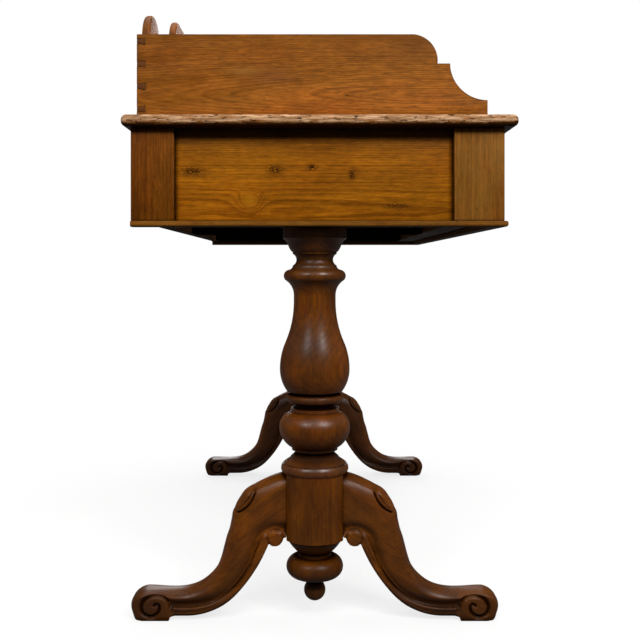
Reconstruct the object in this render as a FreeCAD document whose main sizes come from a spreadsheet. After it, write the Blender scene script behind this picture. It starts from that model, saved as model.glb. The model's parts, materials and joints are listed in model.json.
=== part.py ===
# A pine washstand on twin turned pedestals: a box with two drawers under a galleried top.
# Sizes in millimetres. X runs along the stand, the front faces -Y, the floor is Z = 0.
import FreeCAD, Part
import Sketcher
import math
import os
import re

doc = FreeCAD.newDocument("Washstand")
sizes = doc.addObject("Spreadsheet::Sheet", "Sizes")
places = doc.addObject("Spreadsheet::Sheet", "Places")

# driving sizes: name, value, meaning
driving = [
    ("top_length", 1067, "top board, end to end"),
    ("top_depth", 559, "top board, front to back"),
    ("top_thick", 17, "top board thickness"),
    ("top_height", 733, "upper face of the top above the floor"),
    ("top_round", 7.6, "rounding of the top's edges"),
    ("end_overhang", 16, "top beyond the end posts"),
    ("front_overhang", 17.5, "top beyond the front"),
    ("back_overhang", 12, "top beyond the back posts"),
    ("carcass_height", 132, "posts and panels of the box"),
    ("moulding_thick", 8.5, "strip under the box"),
    ("moulding_width", 21, "strip, proud edge to inner edge"),
    ("moulding_proud", 4.5, "strip beyond the posts"),
    ("moulding_round", 3.4, "rounding of the strip's outer edges"),
    ("post_face", 40, "posts along X"),
    ("front_post_depth", 71, "front posts along Y"),
    ("back_post_depth", 61, "back posts along Y"),
    ("panel_thick", 18, "end panels and carcass back"),
    ("panel_recess", 11, "end panels behind the post faces"),
    ("back_recess", 4, "carcass back behind the post faces"),
    ("tongue_thick", 9, "tongues of panels and runners"),
    ("tongue_depth", 9, "tongues into their grooves"),
    ("top_rail_height", 16, "rail over the drawers"),
    ("bottom_rail_height", 20, "rail under the drawers"),
    ("rail_depth", 58, "drawer rails, front to back"),
    ("rail_tenon", 14, "rail tenons into the posts"),
    ("tenon_width", 30, "rail and muntin tenons along Y"),
    ("muntin_width", 36, "upright between the drawers"),
    ("muntin_tenon", 6, "muntin tenons into the rails"),
    ("bearer_width", 104, "end bearers that carry the pedestals"),
    ("centre_runner_width", 82, "runner and kicker between the drawers"),
    ("kicker_width", 33, "end kickers"),
    ("guide_height", 14, "drawer guides on the runners"),
    ("block_leg", 15, "glue blocks, height and depth"),
    ("block_length", 60, "glue blocks along X"),
    ("stop_height", 5, "drawer stops above the rail"),
    ("stop_width", 32, "drawer stops along X"),
    ("stop_depth", 18, "drawer stops along Y"),
    ("joint_gap", 0.15, "clearance round tenons, tongues and pins"),
    ("gallery_thick", 12, "gallery boards"),
    ("gallery_height", 116, "gallery sides above the top"),
    ("gallery_length", 498, "gallery sides, front to back"),
    ("gallery_end_inset", 20, "gallery sides inside the top's ends"),
    ("gallery_back_inset", 20, "gallery back inside the top's back edge"),
    ("side_nose", 22.5, "upright front end of a gallery side"),
    ("side_cove_rise", 47, "hollow of a gallery side, height"),
    ("side_cove_run", 53, "hollow of a gallery side, length"),
    ("side_step_rise", 5, "step over the hollow, height"),
    ("side_step_run", 18, "step over the hollow, length"),
    ("side_shoulder_run", 33, "round shoulder of a gallery side, length"),
    ("ear_start", 33, "level end of the gallery back"),
    ("ear_radius", 47, "round ears of the gallery back"),
    ("valley_run", 8, "level beside an ear"),
    ("sweep_run", 126, "hollow sweep up to the crest, length"),
    ("sweep_rise", 51, "hollow sweep up to the crest, height"),
    ("crest_step", 12, "step at the foot of the crest"),
    ("crest_shoulder", 50, "round shoulder of the crest"),
    ("crest_height", 104, "crest above the gallery sides"),
    ("pin_spacing", 32, "dovetail pins of the gallery, apart"),
    ("pin_wide", 10, "gallery pin at its root"),
    ("pin_narrow", 6, "gallery pin at the back face"),
    ("screw_radius", 2.2, "gallery screw shank"),
    ("screw_bite", 24, "gallery screw into its board"),
    ("screw_head_radius", 4.4, "gallery screw head"),
    ("screw_head_depth", 3, "gallery screw head, countersunk"),
    ("screw_gap", 0.05, "clearance round a screw"),
    ("pedestal_inset", 67, "pedestal axis inside the end faces"),
    ("column_setback", 4, "pedestal axis behind the box's middle"),
    ("base_clear", 58.5, "underside of the column above the floor"),
    ("bun_height", 31.5, "flat bun at the foot of the column"),
    ("bun_radius", 42.3, "bun, widest"),
    ("bun_foot_radius", 25, "bun, flat underside"),
    ("low_neck_radius", 23.6, "neck over the bun"),
    ("low_neck_height", 5, "neck over the bun"),
    ("ovolo_height", 19, "round under the block"),
    ("ovolo_radius", 40.3, "round under the block, top"),
    ("block_height", 99.5, "round block, flatted for the legs"),
    ("block_radius", 47.5, "round block, flatted for the legs"),
    ("ring_height", 14, "ring over the block"),
    ("ring_swell", 2.6, "ring beyond the block"),
    ("shoulder_height", 16.5, "slope over the ring"),
    ("neck_radius", 28.2, "neck under the bulb"),
    ("neck_height", 3.5, "neck under the bulb"),
    ("bulb_fillet_radius", 34, "fillet under the bulb"),
    ("bulb_fillet_height", 4.5, "fillet under the bulb"),
    ("bulb_low_height", 29.5, "bulb below its widest"),
    ("bulb_high_height", 23, "bulb above its widest"),
    ("bulb_radius", 52.6, "bulb, widest"),
    ("bulb_cap_radius", 36, "fillet over the bulb"),
    ("bulb_cap_height", 5, "fillet over the bulb"),
    ("mid_cove_radius", 30, "hollow under the bead"),
    ("mid_cove_height", 8, "hollow under the bead"),
    ("bead_radius", 42.3, "bead under the vase, widest"),
    ("bead_foot_radius", 36.5, "bead under the vase, edges"),
    ("bead_height", 13, "bead under the vase"),
    ("quirk_radius", 34.5, "groove under the vase"),
    ("quirk_height", 4, "groove under the vase"),
    ("vase_foot_radius", 41.5, "vase, foot"),
    ("belly_radius", 52, "vase, widest"),
    ("belly_height", 32.5, "vase, foot to widest"),
    ("shaft_radius", 31.2, "vase, slender top"),
    ("shaft_straight", 10, "vase, straight top"),
    ("flare_height", 22, "flare under the upper ring"),
    ("flare_radius", 43.5, "flare under the upper ring"),
    ("upper_ring_height", 20.4, "upper ring"),
    ("upper_ring_radius", 46.2, "upper ring, widest"),
    ("upper_ring_top", 38.6, "upper ring, foot of its hollow"),
    ("upper_fillet_radius", 32.8, "fillets of the upper neck"),
    ("ring_fillet_height", 1.6, "fillet over the upper ring"),
    ("upper_neck_radius", 27.3, "upper neck, narrowest"),
    ("upper_neck_height", 17, "upper neck"),
    ("cap_fillet_height", 3, "fillet under the bowl"),
    ("bowl_height", 20, "bowl under the cap"),
    ("bowl_radius", 39.4, "bowl, foot of its hollow"),
    ("cap_height", 23, "cap against the bearer"),
    ("cap_radius", 47.6, "cap against the bearer"),
    ("spigot_radius", 20, "column spigot through the bearer"),
    ("spigot_gap", 0.2, "clearance round turned spigots"),
    ("wedge_thick", 5, "wedge in the spigot, top"),
    ("wedge_tip", 3, "wedge in the spigot, tip"),
    ("leg_reach", 272, "foot tip from the column axis"),
    ("leg_thick", 46, "legs along X"),
    ("leg_edge_thick", 39, "lower edge of the legs along X"),
    ("leg_edge", 11, "width of the lower edge band"),
    ("leg_round", 10, "rounding of the legs' upper edges"),
    ("knee_turn", 45, "curve of the knee, length to its corner"),
    ("ankle_turn", 52, "curve of the ankle, length to its corner"),
    ("toe_turn", 23, "curve of the toe, length to its corner"),
    ("foot_height", 42, "scroll foot"),
    ("scroll_groove", 3.2, "groove of the foot's scroll, width"),
    ("scroll_depth", 3, "groove of the foot's scroll, depth"),
    ("leg_tenon_thick", 20, "leg tenons along X"),
    ("leg_tenon_depth", 22, "leg tenons into the block"),
    ("leg_tenon_height", 58, "leg tenons, height"),
    ("cope_gap", 0.2, "leg shoulders from the column"),
    ("ball_radius", 16, "drop under the column"),
    ("ball_neck_radius", 8, "neck of the drop"),
    ("ball_neck_height", 6, "neck of the drop"),
    ("ball_spigot_radius", 6, "drop spigot into the column"),
    ("ball_spigot_height", 20, "drop spigot into the column"),
    ("stretcher_height", 158, "stretcher axis above the floor"),
    ("stretcher_spigot_radius", 11, "stretcher spigots"),
    ("stretcher_spigot", 22, "stretcher spigots into the blocks"),
    ("stretcher_end_radius", 15.5, "stretcher at its ends"),
    ("stretcher_swell_radius", 19.5, "stretcher near its middle"),
    ("stretcher_ring_radius", 24, "ring at the stretcher's middle"),
    ("stretcher_ring_width", 26, "ring at the stretcher's middle"),
    ("stretcher_cove_width", 12, "hollows beside the ring"),
    ("stretcher_bead_width", 9, "beads at the stretcher's ends"),
    ("stretcher_bead_radius", 20, "beads at the stretcher's ends"),
    ("drawer_gap", 1.0, "drawer to its opening, each side"),
    ("drawer_head_gap", 1.5, "drawer to the rail over it"),
    ("drawer_float", 0.3, "drawer over its runners"),
    ("drawer_front_thick", 20, "drawer front"),
    ("drawer_side_thick", 11, "drawer sides"),
    ("drawer_side_drop", 3, "drawer sides below the front's top"),
    ("drawer_back_thick", 11, "drawer back"),
    ("drawer_back_drop", 9, "drawer back below the sides' top"),
    ("drawer_bottom_thick", 7, "drawer bottom"),
    ("drawer_bottom_rise", 8, "drawer bottom over the sides' lower edge"),
    ("drawer_groove", 5, "drawer bottom into its grooves"),
    ("drawer_clear", 37.5, "drawers to the carcass back"),
    ("dovetail_lap", 6, "lap of the drawer front over the tails"),
    ("tail_root", 15, "drawer tails at the shoulder"),
    ("tail_tip", 20, "drawer tails at the tip"),
    ("knob_reach", 28, "knobs in front of the drawers"),
    ("knob_radius", 18, "knobs, widest"),
    ("knob_neck_radius", 8.5, "knobs, neck"),
    ("knob_rose_radius", 13, "knobs, rose on the drawer"),
    ("knob_rose_height", 3, "knobs, rose on the drawer"),
    ("knob_spigot_radius", 6, "knob spigots"),
    ("knob_offset", 118, "knobs from the drawer's middle"),
]

# places worked out from the driving sizes
worked_out = [
    ("top_under", "top_height - top_thick"),
    ("carcass_under", "top_under - carcass_height"),
    ("moulding_under", "carcass_under - moulding_thick"),
    ("end_face", "top_length/2 - end_overhang"),
    ("box_depth", "top_depth - front_overhang - back_overhang"),
    ("top_back", "(top_depth - front_overhang + max(knob_reach; front_overhang))/2"),
    ("top_front", "top_back - top_depth"),
    ("box_back", "top_back - back_overhang"),
    ("box_front", "box_back - box_depth"),
    ("post_inside", "end_face - post_face"),
    ("panel_outside", "end_face - panel_recess"),
    ("panel_inside", "panel_outside - panel_thick"),
    ("panel_front", "box_front + front_post_depth"),
    ("panel_back", "box_back - back_post_depth"),
    ("back_outside", "box_back - back_recess"),
    ("back_inside", "back_outside - panel_thick"),
    ("rail_back", "box_front + rail_depth"),
    ("rail_top", "carcass_under + bottom_rail_height"),
    ("head_under", "top_under - top_rail_height"),
    ("tenon_front", "box_front + (rail_depth - tenon_width)/2"),
    ("pedestal_x", "end_face - pedestal_inset"),
    ("column_y", "(box_back + box_front)/2 + column_setback"),
    ("gallery_end", "top_length/2 - gallery_end_inset"),
    ("gallery_inside", "gallery_end - gallery_thick"),
    ("gallery_rear", "top_back - gallery_back_inset"),
    ("gallery_face", "gallery_rear - gallery_thick"),
    ("gallery_nose", "gallery_rear - gallery_length"),
    ("bun_top", "base_clear + bun_height"),
    ("ovolo_foot", "bun_top + low_neck_height"),
    ("block_foot", "ovolo_foot + ovolo_height"),
    ("block_top", "block_foot + block_height"),
    ("ring_top", "block_top + ring_height"),
    ("neck_foot", "ring_top + shoulder_height"),
    ("neck_top", "neck_foot + neck_height"),
    ("bulb_foot", "neck_top + bulb_fillet_height"),
    ("bulb_mid", "bulb_foot + bulb_low_height"),
    ("bulb_top", "bulb_mid + bulb_high_height"),
    ("cove_foot", "bulb_top + bulb_cap_height"),
    ("bead_foot", "cove_foot + mid_cove_height"),
    ("bead_top", "bead_foot + bead_height"),
    ("vase_foot", "bead_top + quirk_height"),
    ("belly", "vase_foot + belly_height"),
    ("cap_foot", "carcass_under - cap_height"),
    ("bowl_foot", "cap_foot - bowl_height"),
    ("upper_neck_top", "bowl_foot - cap_fillet_height"),
    ("upper_neck_foot", "upper_neck_top - upper_neck_height"),
    ("upper_ring_end", "upper_neck_foot - ring_fillet_height"),
    ("upper_ring_foot", "upper_ring_end - upper_ring_height"),
    ("flare_foot", "upper_ring_foot - flare_height"),
    ("shaft_foot", "flare_foot - shaft_straight"),
    ("block_flat", "block_radius*0.874"),
    ("leg_root", "block_flat + cope_gap"),
    ("leg_rise", "block_top - 0.5"),
    ("leg_fall", "leg_rise - foot_height"),
    ("sole_rise", "foot_height*0.14"),
    ("knee_u", "leg_reach*0.417"),
    ("knee_z", "foot_height + leg_fall*0.849"),
    ("ankle_u", "leg_reach*0.5535"),
    ("ankle_z", "foot_height"),
    ("toe_z", "foot_height - 0.7"),
    ("pad_turn", "(toe_z - toe_turn)*0.9"),
    ("knee_in", "sqrt((knee_u - leg_root)^2 + (leg_rise - knee_z)^2)"),
    ("shin", "sqrt((ankle_u - knee_u)^2 + (knee_z - ankle_z)^2)"),
    ("instep", "sqrt((leg_reach - ankle_u)^2 + (ankle_z - toe_z)^2)"),
    ("tenon_foot", "block_foot + (block_height - leg_tenon_height)*0.62"),
    ("ball_mid", "base_clear - ball_neck_height - sqrt(ball_radius^2 - ball_neck_radius^2)"),
    ("stretcher_half", "pedestal_x - block_radius"),
    ("opening_width", "post_inside - muntin_width/2"),
    ("drawer_mid", "muntin_width/2 + opening_width/2"),
    ("drawer_half", "opening_width/2 - drawer_gap"),
    ("drawer_foot", "rail_top + drawer_float"),
    ("drawer_head", "head_under - drawer_head_gap"),
    ("side_head", "drawer_head - drawer_side_drop"),
    ("back_head", "side_head - drawer_back_drop"),
    ("drawer_back_face", "back_inside - drawer_clear"),
    ("rear_shoulder", "drawer_back_face - drawer_back_thick"),
    ("rear_flare", "(tail_tip - tail_root)/drawer_back_thick"),
    ("front_flare", "(tail_tip - tail_root)/(drawer_front_thick - dovetail_lap)"),
    ("front_inside", "box_front + drawer_front_thick"),
    ("bottom_under", "drawer_foot + drawer_bottom_rise"),
    ("bottom_upper", "bottom_under + drawer_bottom_thick"),
]

driving_names = {name for name, number, note in driving}
place_names = {name for name, formula in worked_out}
word = re.compile(r"[a-z_]+[a-z0-9_]*")


def bind_sizes(text):
    return word.sub(lambda m: "Sizes." + m.group(0) if m.group(0) in driving_names else m.group(0), text)


def bind(text):
    def prefix(m):
        if m.group(0) in driving_names:
            return "Sizes." + m.group(0)
        if m.group(0) in place_names:
            return "Places." + m.group(0)
        return m.group(0)
    return word.sub(prefix, text)


for row, (name, number, note) in enumerate(driving, 1):
    sizes.set("A%d" % row, note)
    sizes.set("B%d" % row, str(number))
    sizes.setAlias("B%d" % row, name)
doc.recompute()
for row, (name, formula) in enumerate(worked_out, 1):
    places.set("A%d" % row, name.replace("_", " "))
    places.set("B%d" % row, "=" + bind_sizes(formula))
    places.setAlias("B%d" % row, name)
doc.recompute()


def value(text):
    return float(sizes.evalExpression(bind(text)))


def tie(thing, path, text):
    thing.setExpression(path, bind(text))


nodes = []


def keep(thing, label):
    thing.Label = label
    nodes.append(thing)
    return thing


def move(thing, x, y, z):
    tie(thing, "Placement.Base.x", x)
    tie(thing, "Placement.Base.y", y)
    tie(thing, "Placement.Base.z", z)
    return thing


# a board from its low corner to its high corner
def board(x0, x1, y0, y1, z0, z1, name="Board"):
    made = doc.addObject("Part::Box", name)
    tie(made, "Length", "(%s) - (%s)" % (x1, x0))
    tie(made, "Width", "(%s) - (%s)" % (y1, y0))
    tie(made, "Height", "(%s) - (%s)" % (z1, z0))
    return move(made, x0, y0, z0)


# a board on one side of the middle, given for the right hand side
def sided(side, x0, x1, y0, y1, z0, z1, name="Board"):
    if side > 0:
        return board(x0, x1, y0, y1, z0, z1, name)
    return board("-(%s)" % x1, "-(%s)" % x0, y0, y1, z0, z1, name)


def rod(radius, height, x, y, z, axis=None, name="Rod"):
    made = doc.addObject("Part::Cylinder", name)
    tie(made, "Radius", radius)
    tie(made, "Height", height)
    if axis == "x":
        made.Placement.Rotation = FreeCAD.Rotation(FreeCAD.Vector(0, 1, 0), 90)
    if axis == "y":
        made.Placement.Rotation = FreeCAD.Rotation(FreeCAD.Vector(1, 0, 0), -90)
    return move(made, x, y, z)


# a dovetail: straight through X, its height changing along Y
def dovetail(x0, x1, y0, tall0, y1, tall1, z):
    made = doc.addObject("Part::Wedge", "Dovetail")
    for path, text in (("Xmin", x0), ("Xmax", x1), ("X2min", x0), ("X2max", x1),
                       ("Ymin", y0), ("Ymax", y1)):
        tie(made, path, text)
    tie(made, "Zmin", "(%s) - (%s)/2" % (z, tall0))
    tie(made, "Zmax", "(%s) + (%s)/2" % (z, tall0))
    tie(made, "Z2min", "(%s) - (%s)/2" % (z, tall1))
    tie(made, "Z2max", "(%s) + (%s)/2" % (z, tall1))
    return made


def joined(things, name="Joined"):
    if len(things) == 1:
        return things[0]
    made = doc.addObject("Part::MultiFuse", name)
    made.Shapes = things
    return made


def without(base, tools, name="Cut"):
    made = doc.addObject("Part::Cut", name)
    made.Base = base
    made.Tool = joined(tools)
    return made


def group(things, name="Group"):
    made = doc.addObject("Part::Compound", name)
    made.Links = things
    return made


def plane(body, role):
    return [part for part in body.Origin.OriginFeatures if part.Role == role][0]


def arc_middle(start, end, bend, before=None):
    if bend[0] == "tangent":
        along = (start - before).normalize()
        chord = end - start
        across = along - chord * (along.dot(chord) / chord.dot(chord))
        lean = along.getAngle(chord)
        return (start + end) * 0.5 + across.normalize() * (chord.Length / 2 * math.tan(lean / 2))
    if bend[0] == "via":
        return FreeCAD.Vector(value(bend[1]), value(bend[2]), 0)
    if bend[0] == "crown":
        rim, pole = (start, end) if abs(start.x) > abs(end.x) else (end, start)
        rise = pole.y - rim.y
        centre = FreeCAD.Vector(0, pole.y - (rim.x ** 2 + rise ** 2) / (2 * rise), 0)
        half = (start - centre) + (end - centre)
        return centre + half.normalize() * abs(pole.y - centre.y)
    level, other = (start, end) if bend[1] == "start" else (end, start)
    rise = other.y - level.y
    centre_x = (level.x ** 2 - other.x ** 2 - rise ** 2) / (2 * (level.x - other.x))
    centre = FreeCAD.Vector(centre_x, level.y, 0)
    half = (start - centre) + (end - centre)
    return centre + half.normalize() * abs(level.x - centre_x)


# a closed outline: each corner is x, y and how the edge after it bends
# None is straight, via gives a point on the arc, level puts its centre level with that end,
# crown puts its centre on the upright axis, tangent runs on from the straight edge before
def outline(body, name, role, corners):
    sketch = body.newObject("Sketcher::SketchObject", name)
    sketch.AttachmentSupport = (plane(body, role), [""])
    sketch.MapMode = "FlatFace"
    spots = [FreeCAD.Vector(value(x), value(y), 0) for x, y, bend in corners]
    edges = []
    for here, (x, y, bend) in enumerate(corners):
        start, end = spots[here], spots[(here + 1) % len(spots)]
        if bend is None:
            edges.append((sketch.addGeometry(Part.LineSegment(start, end)), 1, 2))
            continue
        middle = arc_middle(start, end, bend, spots[here - 1])
        edge = sketch.addGeometry(Part.Arc(start, middle, end))
        # a sketch counts every arc anticlockwise
        first = 1 if (middle - start).cross(end - middle).z > 0 else 2
        edges.append((edge, first, 3 - first))
    rules = []
    texts = []
    for here, (x, y, bend) in enumerate(corners):
        edge, first, last = edges[here]
        following = edges[(here + 1) % len(edges)]
        next_bend = corners[(here + 1) % len(corners)][2]
        meet = "Tangent" if next_bend and next_bend[0] == "tangent" else "Coincident"
        rules.append(Sketcher.Constraint(meet, edge, last, following[0], following[1]))
        for kind, text in (("DistanceX", x), ("DistanceY", y)):
            texts.append((len(rules), text))
            rules.append(Sketcher.Constraint(kind, -1, 1, edge, first, value(text)))
        if bend is None or bend[0] == "tangent":
            continue
        if bend[0] == "crown":
            rules.append(Sketcher.Constraint("PointOnObject", edge, 3, -2))
            continue
        if bend[0] == "level":
            level = first if bend[1] == "start" else last
            rules.append(Sketcher.Constraint("Horizontal", edge, 3, edge, level))
            continue
        pin = sketch.addGeometry(Part.Point(arc_middle(None, None, bend)), True)
        for kind, text in (("DistanceX", bend[1]), ("DistanceY", bend[2])):
            texts.append((len(rules), text))
            rules.append(Sketcher.Constraint(kind, -1, 1, pin, 1, value(text)))
        rules.append(Sketcher.Constraint("PointOnObject", pin, 1, edge))
    sketch.addConstraint(rules)
    for index, text in texts:
        if word.search(text):
            sketch.setExpression("Constraints[%d]" % index, bind(text))
    return sketch


def new_body(name):
    return doc.addObject("PartDesign::Body", name)


def pad(body, sketch, length, both=False, back=False):
    made = body.newObject("PartDesign::Pad", "Pad")
    made.Profile = sketch
    tie(made, "Length", length)
    if both:
        made.SideType = "Symmetric"
    made.Reversed = back
    return made


def turned(body, sketch, kind="PartDesign::Revolution"):
    made = body.newObject(kind, "Turned")
    made.Profile = sketch
    made.ReferenceAxis = (sketch, ["V_Axis"])
    made.Angle = 360
    return made


def rounded(body, base, radius, wanted):
    doc.recompute()
    names = ["Edge%d" % (n + 1) for n, edge in enumerate(base.Shape.Edges) if wanted(edge)]
    made = body.newObject("PartDesign::Fillet", "Rounded")
    made.Base = (base, names)
    tie(made, "Radius", radius)
    return made


def level_edge(edge, heights):
    box = edge.BoundBox
    return box.ZLength < 0.01 and any(abs(box.ZMin - height) < 0.01 for height in heights)


hands = (("left", -1), ("right", 1))

# top board with rounded edges, bored for the gallery screws
top = new_body("Top")
half_top = "top_length/2"
sheet_outline = outline(top, "TopOutline", "XY_Plane", [
    ("-(%s)" % half_top, "top_front", None),
    (half_top, "top_front", None),
    (half_top, "top_back", None),
    ("-(%s)" % half_top, "top_back", None),
])
top_pad = pad(top, sheet_outline, "top_thick")
top_corners = rounded(top, top_pad, "top_round", lambda e: e.BoundBox.ZLength > 1)
rounded(top, top_corners, "top_round", lambda e: level_edge(e, (0, value("top_thick"))))
move(top, "0", "0", "top_under")

screw_spots = []
for side in (-1, 1):
    for share in (0.2, 0.72):
        x = "%d*(gallery_end - gallery_thick/2)" % side
        screw_spots.append((x, "gallery_nose + gallery_length*%s" % share))
for share in (-0.72, -0.26, 0.26, 0.72):
    screw_spots.append(("%s*gallery_end" % share, "gallery_rear - gallery_thick/2"))


def screw_holes(spots):
    holes = []
    for x, y in spots:
        holes.append(rod("screw_radius + screw_gap", "top_thick + screw_bite + 1", x, y, "top_under - 0.5"))
    return holes


head_holes = []
screws = []
for x, y in screw_spots:
    head = doc.addObject("Part::Cone", "HeadHole")
    tie(head, "Radius1", "screw_head_radius + screw_gap")
    tie(head, "Radius2", "screw_radius + screw_gap")
    tie(head, "Height", "screw_head_depth")
    head_holes.append(move(head, x, y, "top_under"))
    shank = rod("screw_radius", "top_thick + screw_bite - 0.4", x, y, "top_under + 0.4", name="Shank")
    cone = doc.addObject("Part::Cone", "Head")
    tie(cone, "Radius1", "screw_head_radius - screw_gap")
    tie(cone, "Radius2", "screw_radius")
    tie(cone, "Height", "screw_head_depth - 0.4")
    screws.append(joined([shank, move(cone, x, y, "top_under + 0.2")], "Screw"))
keep(without(top, screw_holes(screw_spots) + head_holes), "top_board")
keep(group(screws), "gallery_screws")

# gallery: two scrolled sides dovetailed to a crested back
pin_heights = ["gallery_height/2 + pin_spacing*%s" % share for share in (-1.5, -0.5, 0.5, 1.5)]


def gallery_pins(side, gap):
    pins = []
    for height in pin_heights:
        low, high = "gallery_inside - 1", "gallery_end + %s" % ("0" if gap == "0" else "1")
        if side < 0:
            low, high = "-(%s)" % high, "-(%s)" % low
        pins.append(dovetail(low, high, "gallery_face - (%s)" % gap, "pin_wide + 2*(%s)" % gap,
                             "gallery_rear + (%s)" % gap, "pin_narrow + 2*(%s)" % gap,
                             "top_height + " + height))
    return pins


shoulder_foot = "side_nose + side_cove_rise + side_step_rise"
cove_back = "gallery_nose + side_cove_run"
step_back = cove_back + " + side_step_run"
for hand, side in hands:
    body = new_body("GallerySide")
    profile = outline(body, "SideOutline", "YZ_Plane", [
        ("gallery_nose", "0", None),
        ("gallery_rear", "0", None),
        ("gallery_rear", "gallery_height", None),
        (step_back + " + side_shoulder_run", "gallery_height",
         ("via", step_back + " + side_shoulder_run*0.29",
          shoulder_foot + " + (gallery_height - (%s))*0.71" % shoulder_foot)),
        (step_back, shoulder_foot, None),
        (cove_back, shoulder_foot, None),
        (cove_back, "side_nose + side_cove_rise",
         ("via", "gallery_nose + side_cove_run*0.69", "side_nose + side_cove_rise*0.31")),
        ("gallery_nose", "side_nose", None),
    ])
    pad(body, profile, "gallery_thick")
    move(body, "gallery_inside" if side > 0 else "-gallery_end", "0", "top_height")
    here = screw_spots[0:2] if side < 0 else screw_spots[2:4]
    keep(without(body, gallery_pins(side, "joint_gap") + screw_holes(here)), "gallery_side_" + hand)

ear_mid = "ear_start + ear_radius"
ear_end = "ear_start + 2*ear_radius"
sweep_foot = ear_end + " + valley_run"
sweep_top = sweep_foot + " + sweep_run"
crest_foot = sweep_top + " + crest_step"
half_profile = [
    ("0", "gallery_height", None),
    ("ear_start", "gallery_height", ("via", ear_mid, "gallery_height + ear_radius")),
    (ear_end, "gallery_height", None),
    (sweep_foot, "gallery_height",
     ("via", "%s + sweep_run*0.53" % sweep_foot, "gallery_height + sweep_rise*0.25")),
    (sweep_top, "gallery_height + sweep_rise", None),
    (crest_foot, "gallery_height + sweep_rise", None),
    (crest_foot, "gallery_height + crest_height - crest_shoulder",
     ("via", crest_foot + " + crest_shoulder*0.29", "gallery_height + crest_height - crest_shoulder*0.29")),
    (crest_foot + " + crest_shoulder", "gallery_height + crest_height", None),
]
right_half = [("gallery_inside", "0", None), ("gallery_inside", "gallery_height", None)]
left_half = [("-gallery_inside", "gallery_height", None), ("-gallery_inside", "0", None)]
for index in range(1, len(half_profile)):
    x, z, bend = half_profile[index]
    bend = bend and ("via", "gallery_end - (%s)" % bend[1], bend[2])
    right_half.append(("gallery_end - (%s)" % x, z, bend))
mirrored = []
for index in range(len(half_profile) - 1, 0, -1):
    x, z, bend = half_profile[index]
    bend = half_profile[index - 1][2]
    bend = bend and ("via", "(%s) - gallery_end" % bend[1], bend[2])
    mirrored.append(("(%s) - gallery_end" % x, z, bend))
body = new_body("GalleryBack")
profile = outline(body, "BackOutline", "XZ_Plane", right_half + mirrored + left_half)
pad(body, profile, "gallery_thick")
move(body, "0", "gallery_rear", "top_height")
crested = joined([body] + gallery_pins(-1, "0") + gallery_pins(1, "0"))
keep(without(crested, screw_holes(screw_spots[4:])), "gallery_back")

# posts grooved for the panels and mortised for the drawer rails
for hand, side in hands:
    post = sided(side, "post_inside", "end_face", "box_front", "panel_front",
                 "carcass_under", "top_under")
    groove = sided(side, "panel_inside + (panel_thick - tongue_thick)/2 - joint_gap",
                   "panel_inside + (panel_thick + tongue_thick)/2 + joint_gap",
                   "panel_front - tongue_depth - joint_gap", "panel_front + 1",
                   "carcass_under - 1", "top_under + 1")
    mortises = []
    for foot, head in (("carcass_under - 1", "rail_top + joint_gap"),
                       ("head_under - joint_gap", "top_under + 1")):
        mortises.append(sided(side, "post_inside - 1", "post_inside + rail_tenon + joint_gap",
                              "tenon_front - joint_gap", "tenon_front + tenon_width + joint_gap",
                              foot, head))
    keep(without(post, [groove] + mortises), "post_front_" + hand)
    post = sided(side, "post_inside", "end_face", "panel_back", "box_back", "carcass_under", "top_under")
    groove = sided(side, "panel_inside + (panel_thick - tongue_thick)/2 - joint_gap",
                   "panel_inside + (panel_thick + tongue_thick)/2 + joint_gap",
                   "panel_back - 1", "panel_back + tongue_depth + joint_gap",
                   "carcass_under - 1", "top_under + 1")
    slot = sided(side, "post_inside - 1", "post_inside + tongue_depth + joint_gap",
                 "back_inside + (panel_thick - tongue_thick)/2 - joint_gap",
                 "back_inside + (panel_thick + tongue_thick)/2 + joint_gap",
                 "carcass_under - 1", "top_under + 1")
    keep(without(post, [groove, slot]), "post_back_" + hand)
    panel = sided(side, "panel_inside", "panel_outside", "panel_front", "panel_back",
                  "carcass_under", "top_under")
    tongue = sided(side, "panel_inside + (panel_thick - tongue_thick)/2",
                   "panel_inside + (panel_thick + tongue_thick)/2",
                   "panel_front - tongue_depth", "panel_back + tongue_depth", "carcass_under", "top_under")
    keep(joined([panel, tongue]), "end_panel_" + hand)

panel = board("-post_inside", "post_inside", "back_inside", "back_outside", "carcass_under", "top_under")
tongue = board("-post_inside - tongue_depth", "post_inside + tongue_depth",
               "back_inside + (panel_thick - tongue_thick)/2",
               "back_inside + (panel_thick + tongue_thick)/2", "carcass_under", "top_under")
keep(joined([panel, tongue]), "carcass_back")

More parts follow.
